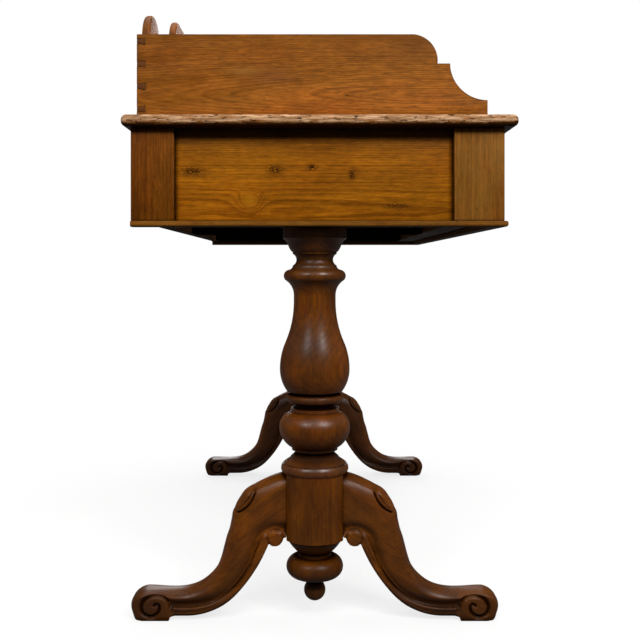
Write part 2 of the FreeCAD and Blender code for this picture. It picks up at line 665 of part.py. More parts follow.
# drawer rails and the muntin between the drawers
muntin_tenons = []
muntin_mortises = []
for gap, pieces in (("0", muntin_tenons), ("joint_gap", muntin_mortises)):
    for low, high in (("rail_top - muntin_tenon - %s" % gap, "rail_top + 1"),
                      ("head_under - 1", "head_under + muntin_tenon + %s" % gap)):
        pieces.append(board("-muntin_width/4 - %s" % gap, "muntin_width/4 + %s" % gap,
                            "tenon_front - %s" % gap, "tenon_front + tenon_width + %s" % gap, low, high))
for label, foot, head in (("bottom_rail", "carcass_under", "rail_top"),
                          ("top_rail", "head_under", "top_under")):
    rail = board("-post_inside", "post_inside", "box_front", "rail_back", foot, head)
    tenon = board("-post_inside - rail_tenon", "post_inside + rail_tenon", "tenon_front",
                  "tenon_front + tenon_width", foot, head)
    tools = [muntin_mortises[0] if label == "bottom_rail" else muntin_mortises[1]]
    if label == "bottom_rail":
        for low, high in (("-panel_inside", "bearer_width - panel_inside"),
                          ("-centre_runner_width/2", "centre_runner_width/2"),
                          ("panel_inside - bearer_width", "panel_inside")):
            tools.append(board("%s - joint_gap" % low, "%s + joint_gap" % high,
                               "rail_back - tongue_depth - joint_gap", "rail_back + 1",
                               "carcass_under + (bottom_rail_height - tongue_thick)/2 - joint_gap",
                               "carcass_under + (bottom_rail_height + tongue_thick)/2 + joint_gap"))
    keep(without(joined([rail, tenon]), tools), label)
muntin = board("-muntin_width/2", "muntin_width/2", "box_front", "rail_back", "rail_top", "head_under")
keep(joined([muntin] + muntin_tenons), "muntin")

# strip under the box, mitred at the front corners
proud_x = "end_face + moulding_proud"
proud_y = "box_front - moulding_proud"
inner_x = proud_x + " - moulding_width"
inner_y = proud_y + " + moulding_width"


def moulding(label, corners, outside):
    body = new_body("Moulding")
    strip = pad(body, outline(body, "Strip", "XY_Plane", corners), "moulding_thick")
    rounded(body, strip, "moulding_round",
            lambda e: level_edge(e, (0, value("moulding_thick"))) and outside(e.BoundBox))
    move(body, "0", "0", "moulding_under")
    keep(body, label)


moulding("moulding_front", [
    ("-(%s)" % proud_x, proud_y, None),
    (proud_x, proud_y, None),
    (inner_x, inner_y, None),
    ("-(%s)" % inner_x, inner_y, None),
], lambda box: abs(box.YMax - value(proud_y)) < 0.01)
for hand, side in hands:
    moulding("moulding_" + hand, [
        ("%d*(%s)" % (side, proud_x), proud_y, None),
        ("%d*(%s)" % (side, proud_x), "box_back", None),
        ("%d*(%s)" % (side, inner_x), "box_back", None),
        ("%d*(%s)" % (side, inner_x), inner_y, None),
    ], lambda box: box.XLength < 0.01 and abs(abs(box.XMax) - value(proud_x)) < 0.01)

# runners, guides and kickers; the wide end runners carry the pedestals
tongue_foot = "carcass_under + (bottom_rail_height - tongue_thick)/2"
tongue_head = "carcass_under + (bottom_rail_height + tongue_thick)/2"
for hand, side in hands:
    bearer = sided(side, "panel_inside - bearer_width", "panel_inside", "panel_front", "panel_back",
                   "carcass_under", "rail_top")
    inner = sided(side, "panel_inside - bearer_width", "post_inside", "rail_back", "back_inside",
                  "carcass_under", "rail_top")
    tongue = sided(side, "panel_inside - bearer_width", "post_inside", "rail_back - tongue_depth",
                   "rail_back + 1", tongue_foot, tongue_head)
    bore = rod("spigot_radius + spigot_gap", "bottom_rail_height + 2", "%d*pedestal_x" % side, "column_y",
               "carcass_under - 1")
    keep(without(joined([bearer, inner, tongue]), [bore]), "bearer_" + hand)
    keep(sided(side, "post_inside", "panel_inside", "panel_front", "panel_back", "rail_top",
               "rail_top + guide_height"), "guide_" + hand)
    kicker = sided(side, "panel_inside - kicker_width", "panel_inside", "panel_front", "panel_back",
                   "head_under", "top_under")
    inner = sided(side, "panel_inside - kicker_width", "post_inside", "rail_back", "back_inside",
                  "head_under", "top_under")
    keep(joined([kicker, inner]), "kicker_" + hand)
runner = board("-centre_runner_width/2", "centre_runner_width/2", "rail_back", "back_inside",
               "carcass_under", "rail_top")
tongue = board("-centre_runner_width/2", "centre_runner_width/2", "rail_back - tongue_depth",
               "rail_back + 1", tongue_foot, tongue_head)
keep(joined([runner, tongue]), "centre_runner")
keep(board("-muntin_width/2 + 0.5", "muntin_width/2 - 0.5", "rail_back", "back_inside", "rail_top",
           "rail_top + guide_height"), "centre_guide")
keep(board("-centre_runner_width/2", "centre_runner_width/2", "rail_back", "back_inside", "head_under",
           "top_under"), "centre_kicker")

# glue blocks between the top and the carcass back
blocks = []
for share in (-0.68, -0.3, 0.3, 0.68):
    block = doc.addObject("Part::Wedge", "Block")
    middle = "%s*panel_inside" % share
    for path, text in (("Xmin", middle + " - block_length/2"), ("Xmax", middle + " + block_length/2"),
                       ("X2min", middle + " - block_length/2"), ("X2max", middle + " + block_length/2"),
                       ("Ymin", "back_inside - block_leg"), ("Ymax", "back_inside"),
                       ("Zmin", "top_under - 0.8"), ("Zmax", "top_under"),
                       ("Z2min", "top_under - block_leg"), ("Z2max", "top_under")):
        tie(block, path, text)
    blocks.append(block)
keep(group(blocks), "glue_blocks")

stops = []
for hand, side in hands:
    for share in (-0.6, 0.6):
        middle = "%d*drawer_mid + %s*drawer_half" % (side, share)
        stops.append(board(middle + " - stop_width/2", middle + " + stop_width/2",
                           "front_inside + drawer_float", "front_inside + drawer_float + stop_depth",
                           "rail_top", "rail_top + stop_height"))
keep(group(stops), "drawer_stops")

# turned pedestal columns
vase_rise = "(shaft_foot - belly)"
vase_waist = "(belly_radius - shaft_radius)"
column_profile = [
    ("0", "base_clear", None),
    ("bun_foot_radius", "base_clear", ("via", "bun_radius", "base_clear + bun_height/2")),
    ("bun_foot_radius", "bun_top", None),
    ("low_neck_radius", "ovolo_foot",
     ("via", "low_neck_radius*0.42 + ovolo_radius*0.58", "ovolo_foot + ovolo_height*0.48")),
    ("ovolo_radius", "block_foot", None),
    ("ovolo_radius", "block_foot + 1.6", None),
    ("block_radius", "block_foot + 4", None),
    ("block_radius", "block_top", ("via", "block_radius + ring_swell", "block_top + ring_height*0.45")),
    ("block_radius", "ring_top", None),
    ("block_radius - 1.6", "ring_top", None),
    ("block_radius - 1.6", "ring_top + 1.4", None),
    ("neck_radius*0.6 + block_radius*0.4", "ring_top + shoulder_height*0.5", None),
    ("neck_radius*0.6 + block_radius*0.4", "ring_top + shoulder_height*0.5 + 1.3", None),
    ("neck_radius", "neck_foot", None),
    ("neck_radius", "neck_top", None),
    ("bulb_fillet_radius", "neck_top", None),
    ("bulb_fillet_radius", "bulb_foot", None),
    ("bulb_fillet_radius + 2", "bulb_foot", ("level", "end")),
    ("bulb_radius", "bulb_mid", ("level", "start")),
    ("bulb_cap_radius - 1.5", "bulb_top", None),
    ("bulb_cap_radius", "bulb_top", None),
    ("bulb_cap_radius", "cove_foot", None),
    ("mid_cove_radius*0.55 + bulb_cap_radius*0.45", "cove_foot + mid_cove_height*0.1",
     ("via", "mid_cove_radius", "(cove_foot + bead_foot)/2")),
    ("mid_cove_radius*0.55 + bead_foot_radius*0.45", "bead_foot - mid_cove_height*0.1", None),
    ("bead_foot_radius", "bead_foot", ("via", "bead_radius", "(bead_foot + bead_top)/2")),
    ("bead_foot_radius", "bead_top", None),
    ("quirk_radius", "bead_top", None),
    ("quirk_radius", "vase_foot", None),
    ("vase_foot_radius", "vase_foot", ("level", "end")),
    ("belly_radius", "belly", ("level", "start")),
    ("belly_radius - 0.4*" + vase_waist, "belly + 0.4*" + vase_rise, ("level", "end")),
    ("shaft_radius", "shaft_foot", None),
    ("shaft_radius", "flare_foot", ("level", "start")),
    ("flare_radius", "upper_ring_foot",
     ("via", "upper_ring_radius", "upper_ring_foot + upper_ring_height*0.3")),
    ("upper_ring_top", "upper_ring_foot + upper_ring_height*0.76",
     ("via", "upper_ring_top*0.32 + upper_fillet_radius*0.68", "upper_ring_end - upper_ring_height*0.14")),
    ("upper_fillet_radius", "upper_ring_end", None),
    ("upper_fillet_radius", "upper_neck_foot",
     ("via", "upper_neck_radius", "(upper_neck_foot + upper_neck_top)/2")),
    ("upper_fillet_radius", "upper_neck_top", None),
    ("upper_fillet_radius", "bowl_foot", None),
    ("upper_fillet_radius + 1", "bowl_foot",
     ("via", "upper_fillet_radius*0.3 + bowl_radius*0.7", "bowl_foot + bowl_height*0.24")),
    ("bowl_radius", "bowl_foot + bowl_height*0.48",
     ("via", "bowl_radius*0.58 + cap_radius*0.42", "bowl_foot + bowl_height*0.78")),
    ("cap_radius", "cap_foot", None),
    ("cap_radius", "carcass_under", None),
    ("spigot_radius", "carcass_under", None),
    ("spigot_radius", "rail_top", None),
    ("0", "rail_top", None),
]
wedges = []
for hand, side in hands:
    body = new_body("Column")
    turned(body, outline(body, "ColumnOutline", "XZ_Plane", column_profile))
    here = "%d*pedestal_x" % side
    move(body, here, "column_y", "0")
    tools = []
    # a flat and a mortise for each leg
    for wide, near, far, foot, head in (
            ("block_radius", "block_flat", "block_radius + 1", "block_foot + 0.8", "block_top"),
            ("leg_tenon_thick/2 + joint_gap", "block_flat - leg_tenon_depth - joint_gap", "block_flat + 1",
             "tenon_foot - joint_gap", "tenon_foot + leg_tenon_height + joint_gap")):
        x0 = here + " - (%s)" % wide
        x1 = here + " + (%s)" % wide
        tools.append(board(x0, x1, "column_y - (%s)" % far, "column_y - (%s)" % near, foot, head))
        tools.append(board(x0, x1, "column_y + (%s)" % near, "column_y + (%s)" % far, foot, head))
    mouth = "-stretcher_half - stretcher_spigot - joint_gap" if side < 0 else "stretcher_half - 1"
    tools.append(rod("stretcher_spigot_radius + spigot_gap", "stretcher_spigot + joint_gap + 1", mouth,
                     "column_y", "stretcher_height", "x"))
    tools.append(rod("ball_spigot_radius + spigot_gap", "ball_spigot_height + 2", here, "column_y",
                     "base_clear - 1"))
    for swell, floor, pieces in (("joint_gap", "-0.3", tools), ("0", "0", wedges)):
        wedge = doc.addObject("Part::Wedge", "SpigotWedge")
        top_half = "wedge_thick/2 + " + swell
        tip_half = "wedge_tip/2 + " + swell
        reach = "spigot_radius*0.9 + " + swell
        for path, text in (("Xmin", "-(%s)" % tip_half), ("Xmax", tip_half), ("X2min", "-(%s)" % top_half),
                           ("X2max", top_half), ("Ymin", floor), ("Ymax", "bottom_rail_height - 2"),
                           ("Zmin", "-(%s)" % reach), ("Zmax", reach),
                           ("Z2min", "-(%s)" % reach), ("Z2max", reach)):
            tie(wedge, path, text)
        wedge.Placement.Rotation = FreeCAD.Rotation(FreeCAD.Vector(1, 0, 0), 90)
        pieces.append(move(wedge, here, "column_y", "carcass_under + 2"))
    keep(without(body, tools), "column_" + hand)
keep(group(wedges), "column_wedges")

# ball drops under the columns
for hand, side in hands:
    body = new_body("Drop")
    turned(body, outline(body, "DropOutline", "XZ_Plane", [
        ("0", "ball_mid - ball_radius", ("crown",)),
        ("ball_radius", "ball_mid", ("level", "start")),
        ("ball_neck_radius", "base_clear - ball_neck_height", None),
        ("ball_neck_radius", "base_clear", None),
        ("ball_spigot_radius", "base_clear", None),
        ("ball_spigot_radius", "base_clear + ball_spigot_height", None),
        ("0", "base_clear + ball_spigot_height", None),
    ]))
    move(body, "%d*pedestal_x" % side, "column_y", "0")
    keep(body, "ball_drop_" + hand)

# scroll legs: a full outline, a thicker face over the lower edge band, tenoned to the block's flats
upper_line = [
    ("leg_root", "leg_rise", None),
    ("knee_u + (leg_root - knee_u)*knee_turn/knee_in", "knee_z + (leg_rise - knee_z)*knee_turn/knee_in",
     ("tangent",)),
    ("knee_u + (ankle_u - knee_u)*knee_turn/shin", "knee_z + (ankle_z - knee_z)*knee_turn/shin", None),
    ("ankle_u + (knee_u - ankle_u)*ankle_turn/shin", "ankle_z + (knee_z - ankle_z)*ankle_turn/shin",
     ("tangent",)),
    ("ankle_u + (leg_reach - ankle_u)*ankle_turn/instep", "ankle_z + (toe_z - ankle_z)*ankle_turn/instep",
     None),
    ("leg_reach + (ankle_u - leg_reach)*toe_turn/instep", "toe_z + (ankle_z - toe_z)*toe_turn/instep",
     ("tangent",)),
    ("leg_reach", "toe_z - toe_turn", None),
    ("leg_reach", "pad_turn", ("tangent",)),
    ("leg_reach - pad_turn*0.95", "0", None),
    ("leg_reach*0.8", "0", None),
]
lower_line = [
    ("leg_reach*0.8", "0", None),
    ("leg_reach*0.778", "sole_rise", None),
    ("leg_reach*0.69", "sole_rise", ("via", "leg_reach*0.555", "sole_rise + leg_fall*0.042")),
    ("leg_reach*0.4375", "sole_rise + leg_fall*0.16",
     ("via", "leg_reach*0.339", "sole_rise + leg_fall*0.349")),
    ("leg_reach*0.2486", "block_foot - 2", ("via", "leg_reach*0.2125", "block_foot - 5.5")),
    ("leg_root + 4.3", "block_foot + 7", None),
    ("leg_root", "block_foot + 8", None),
]
inside_line = [
    ("leg_root", "block_foot + 50", None),
    ("leg_reach*0.42", "foot_height + leg_fall*0.41", None),
    ("leg_reach*0.56", "foot_height*0.8", None),
    ("leg_reach*0.83", "foot_height*0.5", None),
]
face_line = [
    ("leg_reach*0.762", "sole_rise + leg_edge", None),
    ("leg_reach*0.69", "sole_rise + leg_edge",
     ("via", "leg_reach*0.555 + leg_edge*0.37", "sole_rise + leg_fall*0.042 + leg_edge*0.93")),
    ("leg_reach*0.4375 + leg_edge*0.68", "sole_rise + leg_fall*0.16 + leg_edge*0.73",
     ("via", "leg_reach*0.339 + leg_edge*0.84", "sole_rise + leg_fall*0.349 + leg_edge*0.54")),
    ("leg_reach*0.2486 + leg_edge*1.15", "block_foot + 9",
     ("via", "leg_reach*0.225", "block_foot + 11 + leg_edge")),
    ("leg_root", "block_foot + 5 + leg_edge", None),
]


def on_upper_line(edge, line):
    spots = [(value(x), value(z)) for x, z, bend in line[:-1]]
    if abs(abs(edge.Vertexes[0].Y) - value("leg_thick")/2) > 0.01 or edge.BoundBox.YLength > 0.01:
        return False
    return all(any(math.hypot(v.X - x, v.Z - z) < 0.05 for x, z in spots) for v in edge.Vertexes)


# the scroll of the foot: a groove of half turns, each closer in than the last
eye_u = "leg_reach*0.865"
eye_z = "foot_height*0.476"


def volute(body, face_side):
    turns = ["-0.56*foot_height", "0.43*foot_height", "-0.22*foot_height", "0.08*foot_height"]
    swells = [0.78, 1.15, 1]
    walls = []
    for inset in ("0", "scroll_groove"):
        wall = []
        for step, reach in enumerate(turns):
            inward = "+" if step % 2 == 0 else "-"
            here = "%s + %s %s %s" % (eye_u, reach, inward, inset)
            if step + 1 < len(turns):
                after = "%s + %s %s %s" % (eye_u, turns[step + 1], "-" if step % 2 == 0 else "+", inset)
                crown_z = "%s + %s*((%s) - (%s))/2" % (eye_z, swells[step], after, here)
                wall.append((here, eye_z, ("via", "((%s) + (%s))/2" % (here, after), crown_z)))
            else:
                wall.append((here, eye_z, None))
        walls.append(wall)
    outer, inner = walls
    back = []
    for step in range(len(inner) - 1, -1, -1):
        u, z, bend = inner[step]
        back.append((u, z, inner[step - 1][2] if step else None))
    sketch = outline(body, "Volute", "XZ_Plane", outer + back)
    tie(sketch, "AttachmentOffset.Base.z", "%d*leg_thick/2" % face_side)
    made = body.newObject("PartDesign::Pocket", "Scroll")
    made.Profile = sketch
    tie(made, "Length", "scroll_depth")
    made.Reversed = face_side < 0
    return made


for hand, side in hands:
    for end, turn in (("front", -90), ("back", 90)):
        body = new_body("Leg")
        face = pad(body, outline(body, "Face", "XZ_Plane", upper_line + face_line), "leg_thick", both=True)
        rounded(body, face, "leg_round", lambda e: on_upper_line(e, upper_line))
        band = outline(body, "EdgeBand", "XZ_Plane", lower_line + inside_line)
        pad(body, band, "leg_edge_thick", both=True)
        for face_side in (-1, 1):
            volute(body, face_side)
        tenon_line = outline(body, "Tenon", "XZ_Plane", [
            ("block_flat - leg_tenon_depth", "tenon_foot", None),
            ("block_flat + 4", "tenon_foot", None),
            ("block_flat + 4", "tenon_foot + leg_tenon_height", None),
            ("block_flat - leg_tenon_depth", "tenon_foot + leg_tenon_height", None),
        ])
        pad(body, tenon_line, "leg_tenon_thick", both=True)
        body.Placement.Rotation = FreeCAD.Rotation(FreeCAD.Vector(0, 0, 1), turn)
        move(body, "%d*pedestal_x" % side, "column_y", "0")
        keep(body, "leg_%s_%s" % (end, hand))

# turned stretcher between the blocks
half = "stretcher_half"
ring_half = "stretcher_ring_width/2"
cove_end = ring_half + " + stretcher_cove_width"
half_turning = [
    ("stretcher_ring_radius*0.72", ring_half,
     ("via", "stretcher_end_radius*0.86", ring_half + " + stretcher_cove_width/2")),
    ("stretcher_swell_radius", cove_end, ("via", "stretcher_swell_radius*0.62 + stretcher_end_radius*0.38",
                                         "(%s)*0.6 + %s*0.4" % (cove_end, half))),
    ("stretcher_end_radius", half + " - stretcher_bead_width - 8", None),
    ("stretcher_end_radius", half + " - stretcher_bead_width - 5",
     ("via", "stretcher_bead_radius", half + " - stretcher_bead_width/2 - 5")),
    ("stretcher_end_radius", half + " - 5", None),
    ("stretcher_end_radius", half + " - 0.4", None),
    ("stretcher_spigot_radius", half + " - 0.4", None),
    ("stretcher_spigot_radius", half + " + stretcher_spigot - 0.4", None),
]
turning = [("0", "-(%s) - stretcher_spigot + 0.4" % half, None)]
for index in range(len(half_turning) - 1, -1, -1):
    r, z, bend = half_turning[index]
    bend = half_turning[index - 1][2] if index else ("via", "stretcher_ring_radius", "0")
    turning.append((r, "-(%s)" % z, bend and ("via", bend[1], "-(%s)" % bend[2] if index else "0")))
turning += half_turning
turning.append(("0", half + " + stretcher_spigot - 0.4", None))
body = new_body("Stretcher")
turned(body, outline(body, "StretcherOutline", "XZ_Plane", turning))
body.Placement.Rotation = FreeCAD.Rotation(FreeCAD.Vector(0, 1, 0), 90)
move(body, "0", "column_y", "stretcher_height")
keep(body, "stretcher")

# two dovetailed drawers with turned knobs
tail_heights = ["drawer_foot + (side_head - drawer_foot)*%s" % share for share in (0.18, 0.5, 0.82)]
rear_heights = ["bottom_upper + (back_head - bottom_upper)*%s" % share for share in (0.25, 0.75)]
for hand, side in hands:
    middle = "%d*drawer_mid" % side
    west = middle + " - drawer_half"
    east = middle + " + drawer_half"
    front = board(west, east, "box_front", "front_inside", "drawer_foot", "drawer_head")
    back = board(west, east, "rear_shoulder", "drawer_back_face", "bottom_upper", "back_head")
    front_tools = []
    back_tools = []
    for flank, x0, x1 in (("left", west, west + " + drawer_side_thick"),
                          ("right", east + " - drawer_side_thick", east)):
        # the sockets run out past the drawer side's outer face
        low = x0 + (" - 1" if flank == "left" else " - joint_gap")
        high = x1 + (" + 1" if flank == "right" else " + joint_gap")
        tails = []
        for height in tail_heights:
            tails.append(dovetail(x0, x1, "box_front + dovetail_lap", "tail_tip",
                                  "front_inside + 1", "tail_root - front_flare", height))
            front_tools.append(dovetail(low, high, "box_front + dovetail_lap - joint_gap",
                                        "tail_tip + joint_gap*(2 + front_flare)",
                                        "front_inside + 1",
                                        "tail_root - front_flare + 2*joint_gap", height))
        for height in rear_heights:
            tails.append(dovetail(x0, x1, "rear_shoulder - 1", "tail_root - rear_flare",
                                  "drawer_back_face", "tail_tip", height))
            back_tools.append(dovetail(low, high, "rear_shoulder - 1",
                                       "tail_root - rear_flare + 2*joint_gap", "drawer_back_face + 1",
                                       "tail_tip + rear_flare + 2*joint_gap", height))
        plank = board(x0, x1, "front_inside", "rear_shoulder", "drawer_foot", "side_head")
        ledge = board(x0, x1, "rear_shoulder - 1", "drawer_back_face", "drawer_foot",
                      "bottom_upper - joint_gap")
        inner0 = x1 + " - drawer_groove - joint_gap"
        inner1 = x1 + " + 1"
        if flank == "right":
            inner0 = x0 + " - 1"
            inner1 = x0 + " + drawer_groove + joint_gap"
        groove = board(inner0, inner1, "front_inside - drawer_groove - joint_gap", "drawer_back_face + 1",
                       "bottom_under - joint_gap", "bottom_upper + joint_gap")
        keep(without(joined([plank, ledge] + tails), [groove]), "drawer_%s_side_%s" % (hand, flank))
    groove = board(west + " + drawer_side_thick - drawer_groove - joint_gap",
                   east + " - drawer_side_thick + drawer_groove + joint_gap",
                   "front_inside - drawer_groove - joint_gap", "front_inside + 1",
                   "bottom_under - joint_gap", "bottom_upper + joint_gap")
    bores = []
    for share in (-1, 1):
        bores.append(rod("knob_spigot_radius + spigot_gap", "drawer_front_thick + 2",
                         middle + " + %d*knob_offset" % share, "box_front - 1",
                         "(drawer_foot + drawer_head)/2", "y"))
    keep(without(front, front_tools + [groove] + bores), "drawer_%s_front" % hand)
    keep(without(back, back_tools), "drawer_%s_back" % hand)
    keep(board(west + " + drawer_side_thick - drawer_groove", east + " - drawer_side_thick + drawer_groove",
               "front_inside - drawer_groove", "drawer_back_face", "bottom_under", "bottom_upper"),
         "drawer_%s_bottom" % hand)
    for share, place in ((-1, "a"), (1, "b")):
        body = new_body("Knob")
        turned(body, outline(body, "KnobOutline", "XZ_Plane", [
            ("0", "-drawer_front_thick + 1", None),
            ("knob_spigot_radius", "-drawer_front_thick + 1", None),
            ("knob_spigot_radius", "0", None),
            ("knob_rose_radius", "0", None),
            ("knob_rose_radius", "knob_rose_height",
             ("via", "knob_neck_radius", "knob_rose_height + knob_reach*0.18")),
            ("knob_neck_radius + 2.2", "knob_reach*0.46", ("via", "knob_radius", "knob_reach*0.7")),
            ("knob_radius*0.62", "knob_reach*0.93", ("crown",)),
            ("0", "knob_reach", None),
        ]))
        body.Placement.Rotation = FreeCAD.Rotation(FreeCAD.Vector(1, 0, 0), 90)
        move(body, middle + " + %d*knob_offset" % share, "box_front", "(drawer_foot + drawer_head)/2")
        keep(body, "drawer_%s_knob_%s" % (hand, place))

doc.recompute()
faults = []
for thing in doc.Objects:
    if "Invalid" in thing.State or "Error" in thing.State:
        faults.append("%s (%s) does not rebuild" % (thing.Label, thing.TypeId))
for thing in nodes:
    if thing.Shape.isNull() or not thing.Shape.isValid() or not thing.Shape.Solids:
        faults.append("%s has no valid solid" % thing.Label)
if faults:
    raise RuntimeError("; ".join(faults))
os.makedirs("parts", exist_ok=True)
for thing in nodes:
    thing.Shape.exportStep("parts/%s.step" % thing.Label)
print("%d parts written" % len(nodes))
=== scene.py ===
# Pine washstand on twin turned pedestals: the finish of every piece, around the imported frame.
import json
import math

import bmesh
import bpy
from mathutils import Matrix, Vector, kdtree


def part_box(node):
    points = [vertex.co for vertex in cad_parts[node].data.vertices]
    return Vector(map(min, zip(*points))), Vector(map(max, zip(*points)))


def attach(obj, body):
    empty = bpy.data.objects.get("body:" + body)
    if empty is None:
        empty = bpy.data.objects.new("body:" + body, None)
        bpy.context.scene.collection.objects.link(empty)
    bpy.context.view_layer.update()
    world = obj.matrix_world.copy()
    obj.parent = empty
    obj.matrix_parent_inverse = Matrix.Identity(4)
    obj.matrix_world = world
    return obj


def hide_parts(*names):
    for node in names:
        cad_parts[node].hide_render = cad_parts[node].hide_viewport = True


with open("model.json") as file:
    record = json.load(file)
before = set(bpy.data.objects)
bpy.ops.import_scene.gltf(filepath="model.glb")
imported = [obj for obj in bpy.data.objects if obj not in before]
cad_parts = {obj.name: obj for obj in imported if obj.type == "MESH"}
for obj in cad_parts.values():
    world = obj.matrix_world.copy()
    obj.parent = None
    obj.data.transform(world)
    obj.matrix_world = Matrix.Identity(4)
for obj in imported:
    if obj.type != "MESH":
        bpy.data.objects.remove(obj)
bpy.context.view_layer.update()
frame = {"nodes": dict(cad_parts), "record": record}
record = frame["record"]
bodyOf = {node: body for body, nodes in record["behaviour"]["bodies"].items() for node in nodes}
print("frame loaded:", len(frame["nodes"]), "nodes")


# short ways to place and wire shader nodes
def give(tree, socket, value):
    if isinstance(value, bpy.types.NodeSocket):
        tree.links.new(value, socket)
    else:
        socket.default_value = value


def put(tree, kind, inputs=None, **settings):
    node = tree.nodes.new("ShaderNode" + kind)
    for key, value in settings.items():
        setattr(node, key, value)
    for key, value in (inputs or {}).items():
        give(tree, node.inputs[key], value)
    return node


def calc(tree, operation, *values):
    node = put(tree, "Math", operation=operation)
    for socket, value in zip(node.inputs, values):
        give(tree, socket, value)
    return node.outputs[0]


def times(tree, *values):
    product = values[0]
    for value in values[1:]:
        product = calc(tree, "MULTIPLY", product, value)
    return product


def fade(tree, value, low, high, start=0.0, end=1.0):
    settings = {"Value": value, "From Min": low, "From Max": high, "To Min": start, "To Max": end}
    return put(tree, "MapRange", settings, interpolation_type="SMOOTHSTEP").outputs[0]


def blendColours(tree, amount, first, second, kind="MIX"):
    node = put(tree, "Mix", data_type="RGBA", blend_type=kind)
    for index, value in ((0, amount), (6, first), (7, second)):
        give(tree, node.inputs[index], value)
    return node.outputs[2]


# a place measured from a spot, in shares of the spot's size
def fromSpot(tree, place, at, size):
    settings = {"Vector": place, "Location": at, "Scale": size}
    return put(tree, "Mapping", settings, vector_type="TEXTURE").outputs[0]


# one at the middle of a spot, nothing beyond its size
def softSpot(tree, place, at, size):
    spread = fromSpot(tree, place, at, size)
    reach = put(tree, "VectorMath", {0: spread, 1: spread}, operation="DOT_PRODUCT").outputs["Value"]
    return calc(tree, "EXPONENT", calc(tree, "MULTIPLY", reach, -1.0))


def tinted(colour, red, green, blue):
    return (colour[0] * red, colour[1] * green, colour[2] * blue, 1.0)


def darker(colour, share):
    return tinted(colour, share, share, share)


# patterns of the wood: repeats to the metre along the grain and across it, and the part of the noise that shows
figure = {
    "sway": {"repeats": (1.7, 11, 11), "detail": 3.0},
    "fibre": {"repeats": (14, 620, 620), "detail": 3.0},
    "dash": {"repeats": (46, 900, 900), "detail": 1.0, "shows": (0.66, 0.78)},
    "stain": {"repeats": (4, 15, 15), "detail": 4.0},
    "streak": {"repeats": (6, 230, 230), "detail": 4.0, "rough": 0.6, "shows": (0.30, 0.70)},
    "grit": {"repeats": (75, 330, 330), "detail": 4.0, "rough": 0.6, "shows": (0.30, 0.70)},
    "mottle": {"repeats": (16, 32, 32), "detail": 4.0, "rough": 0.6, "shows": (0.30, 0.70)},
    "broad": {"repeats": (2.2, 5, 5), "detail": 3.0, "shows": (0.30, 0.70)},
    "film": {"repeats": (9, 22, 22), "detail": 5.0, "rough": 0.65, "shows": (0.34, 0.66)},
    "fleck": {"repeats": (150, 260, 260), "detail": 2.0, "shows": (0.68, 0.76)},
    "patch": {"repeats": (7, 9, 9), "detail": 2.0, "shows": (0.42, 0.62)},
    "ragged": {"repeats": (240, 520, 520), "detail": 2.0, "shows": (0.36, 0.52)},
    "broken": {"repeats": (60, 90, 90), "detail": 3.0, "shows": (0.38, 0.62)},
    "smear": {"repeats": (9, 30, 30), "detail": 3.0},
    # the rubbed border of the top: along X, Y and Z
    "rub": {"repeats": (38, 38, 260), "detail": 6.0, "rough": 0.7},
    "bite": {"repeats": (17, 17, 40), "detail": 3.0},
    "chalk": {"repeats": (26, 26, 420), "detail": 6.0, "rough": 0.65, "shows": (0.46, 0.60)},
    "pits": {"repeats": (75, 75, 330), "detail": 5.0, "rough": 0.65, "shows": (0.560, 0.62)},
}


def pattern(tree, along, key, start=0.0, end=1.0):
    look = figure[key]
    scaled = put(tree, "VectorMath", {0: along, 1: look["repeats"]}, operation="MULTIPLY").outputs[0]
    noise = put(tree, "TexNoise", {"Vector": scaled, "Scale": 1.0, "Detail": look["detail"],
                                   "Roughness": look.get("rough", 0.55)}).outputs[0]
    if "shows" in look:
        return fade(tree, noise, *look["shows"], start, end)
    return noise


# old waxed pine, with growth rings round a heart line outside the board
pine = {
    "tone": (0.272, 0.093, 0.016),
    "early": (1.20, 1.22, 1.25),      # early and late wood, as shares of the tone
    "late": (0.56, 0.47, 0.42),
    "ruddy": (0.98, 0.84, 0.80),
    "worn": (0.400, 0.200, 0.085, 1.0),
    "chalk": (2.2, 2.55, 3.2),        # palest wear, as shares of the worn colour
    "ringGap": 0.0031,
    "wander": 0.020,
    "wanderIn": 0.7,                  # share of the wander that goes into the board
    "faintest": 0.25,                 # late wood of the weakest ring
    "ringDepth": 0.46,
    "streak": 0.14,                   # light and dark lines between the rings
    "grit": 0.17,                     # short broken grain
    "mottle": 0.10,
    "fibre": (0.80, 1.18),
    "broad": (0.74, 1.18),
    "dashDepth": 0.75,
    "dashTone": 0.5,                  # as a share of the late wood
    "wear": 0.35,
    "edge": 0.0022,                   # reach of the wear at a corner
    "endDark": 0.60,
    "endTone": 0.4,
    "specks": 0.8,
    "knock": (0.16, 0.14, 0.14),      # dirt in a knock, as shares of the late wood
    "dirt": 0.10,                     # dirt in a joint, the same way
    "rough": 0.52,
    "smear": 0.24,                    # uneven wax
    "wornRough": 0.15,
    "shine": 0.07,
    "bump": 0.0005,
    "fibreHeight": 0.35,
    "lateHeight": 0.5,
    "knockDepth": 1.6,
    "groove": 0.7,                    # dirt held in joints and hollows
    "grooveReach": 0.004,
    "crease": 0.0,                    # dirt along carved lines
    "rim": 0.0,                       # width of a rubbed border
    "grey": 0.0,
    "film": (0.19, 0.098, 0.018, 1.0),
    "undersideShade": 0.88,                     # painted shade on faces that look down
    "undersideShadeTone": (0.012, 0.008, 0.006, 1.0),
    "dust": 0.0,                      # dulls the tops of turned rings
}
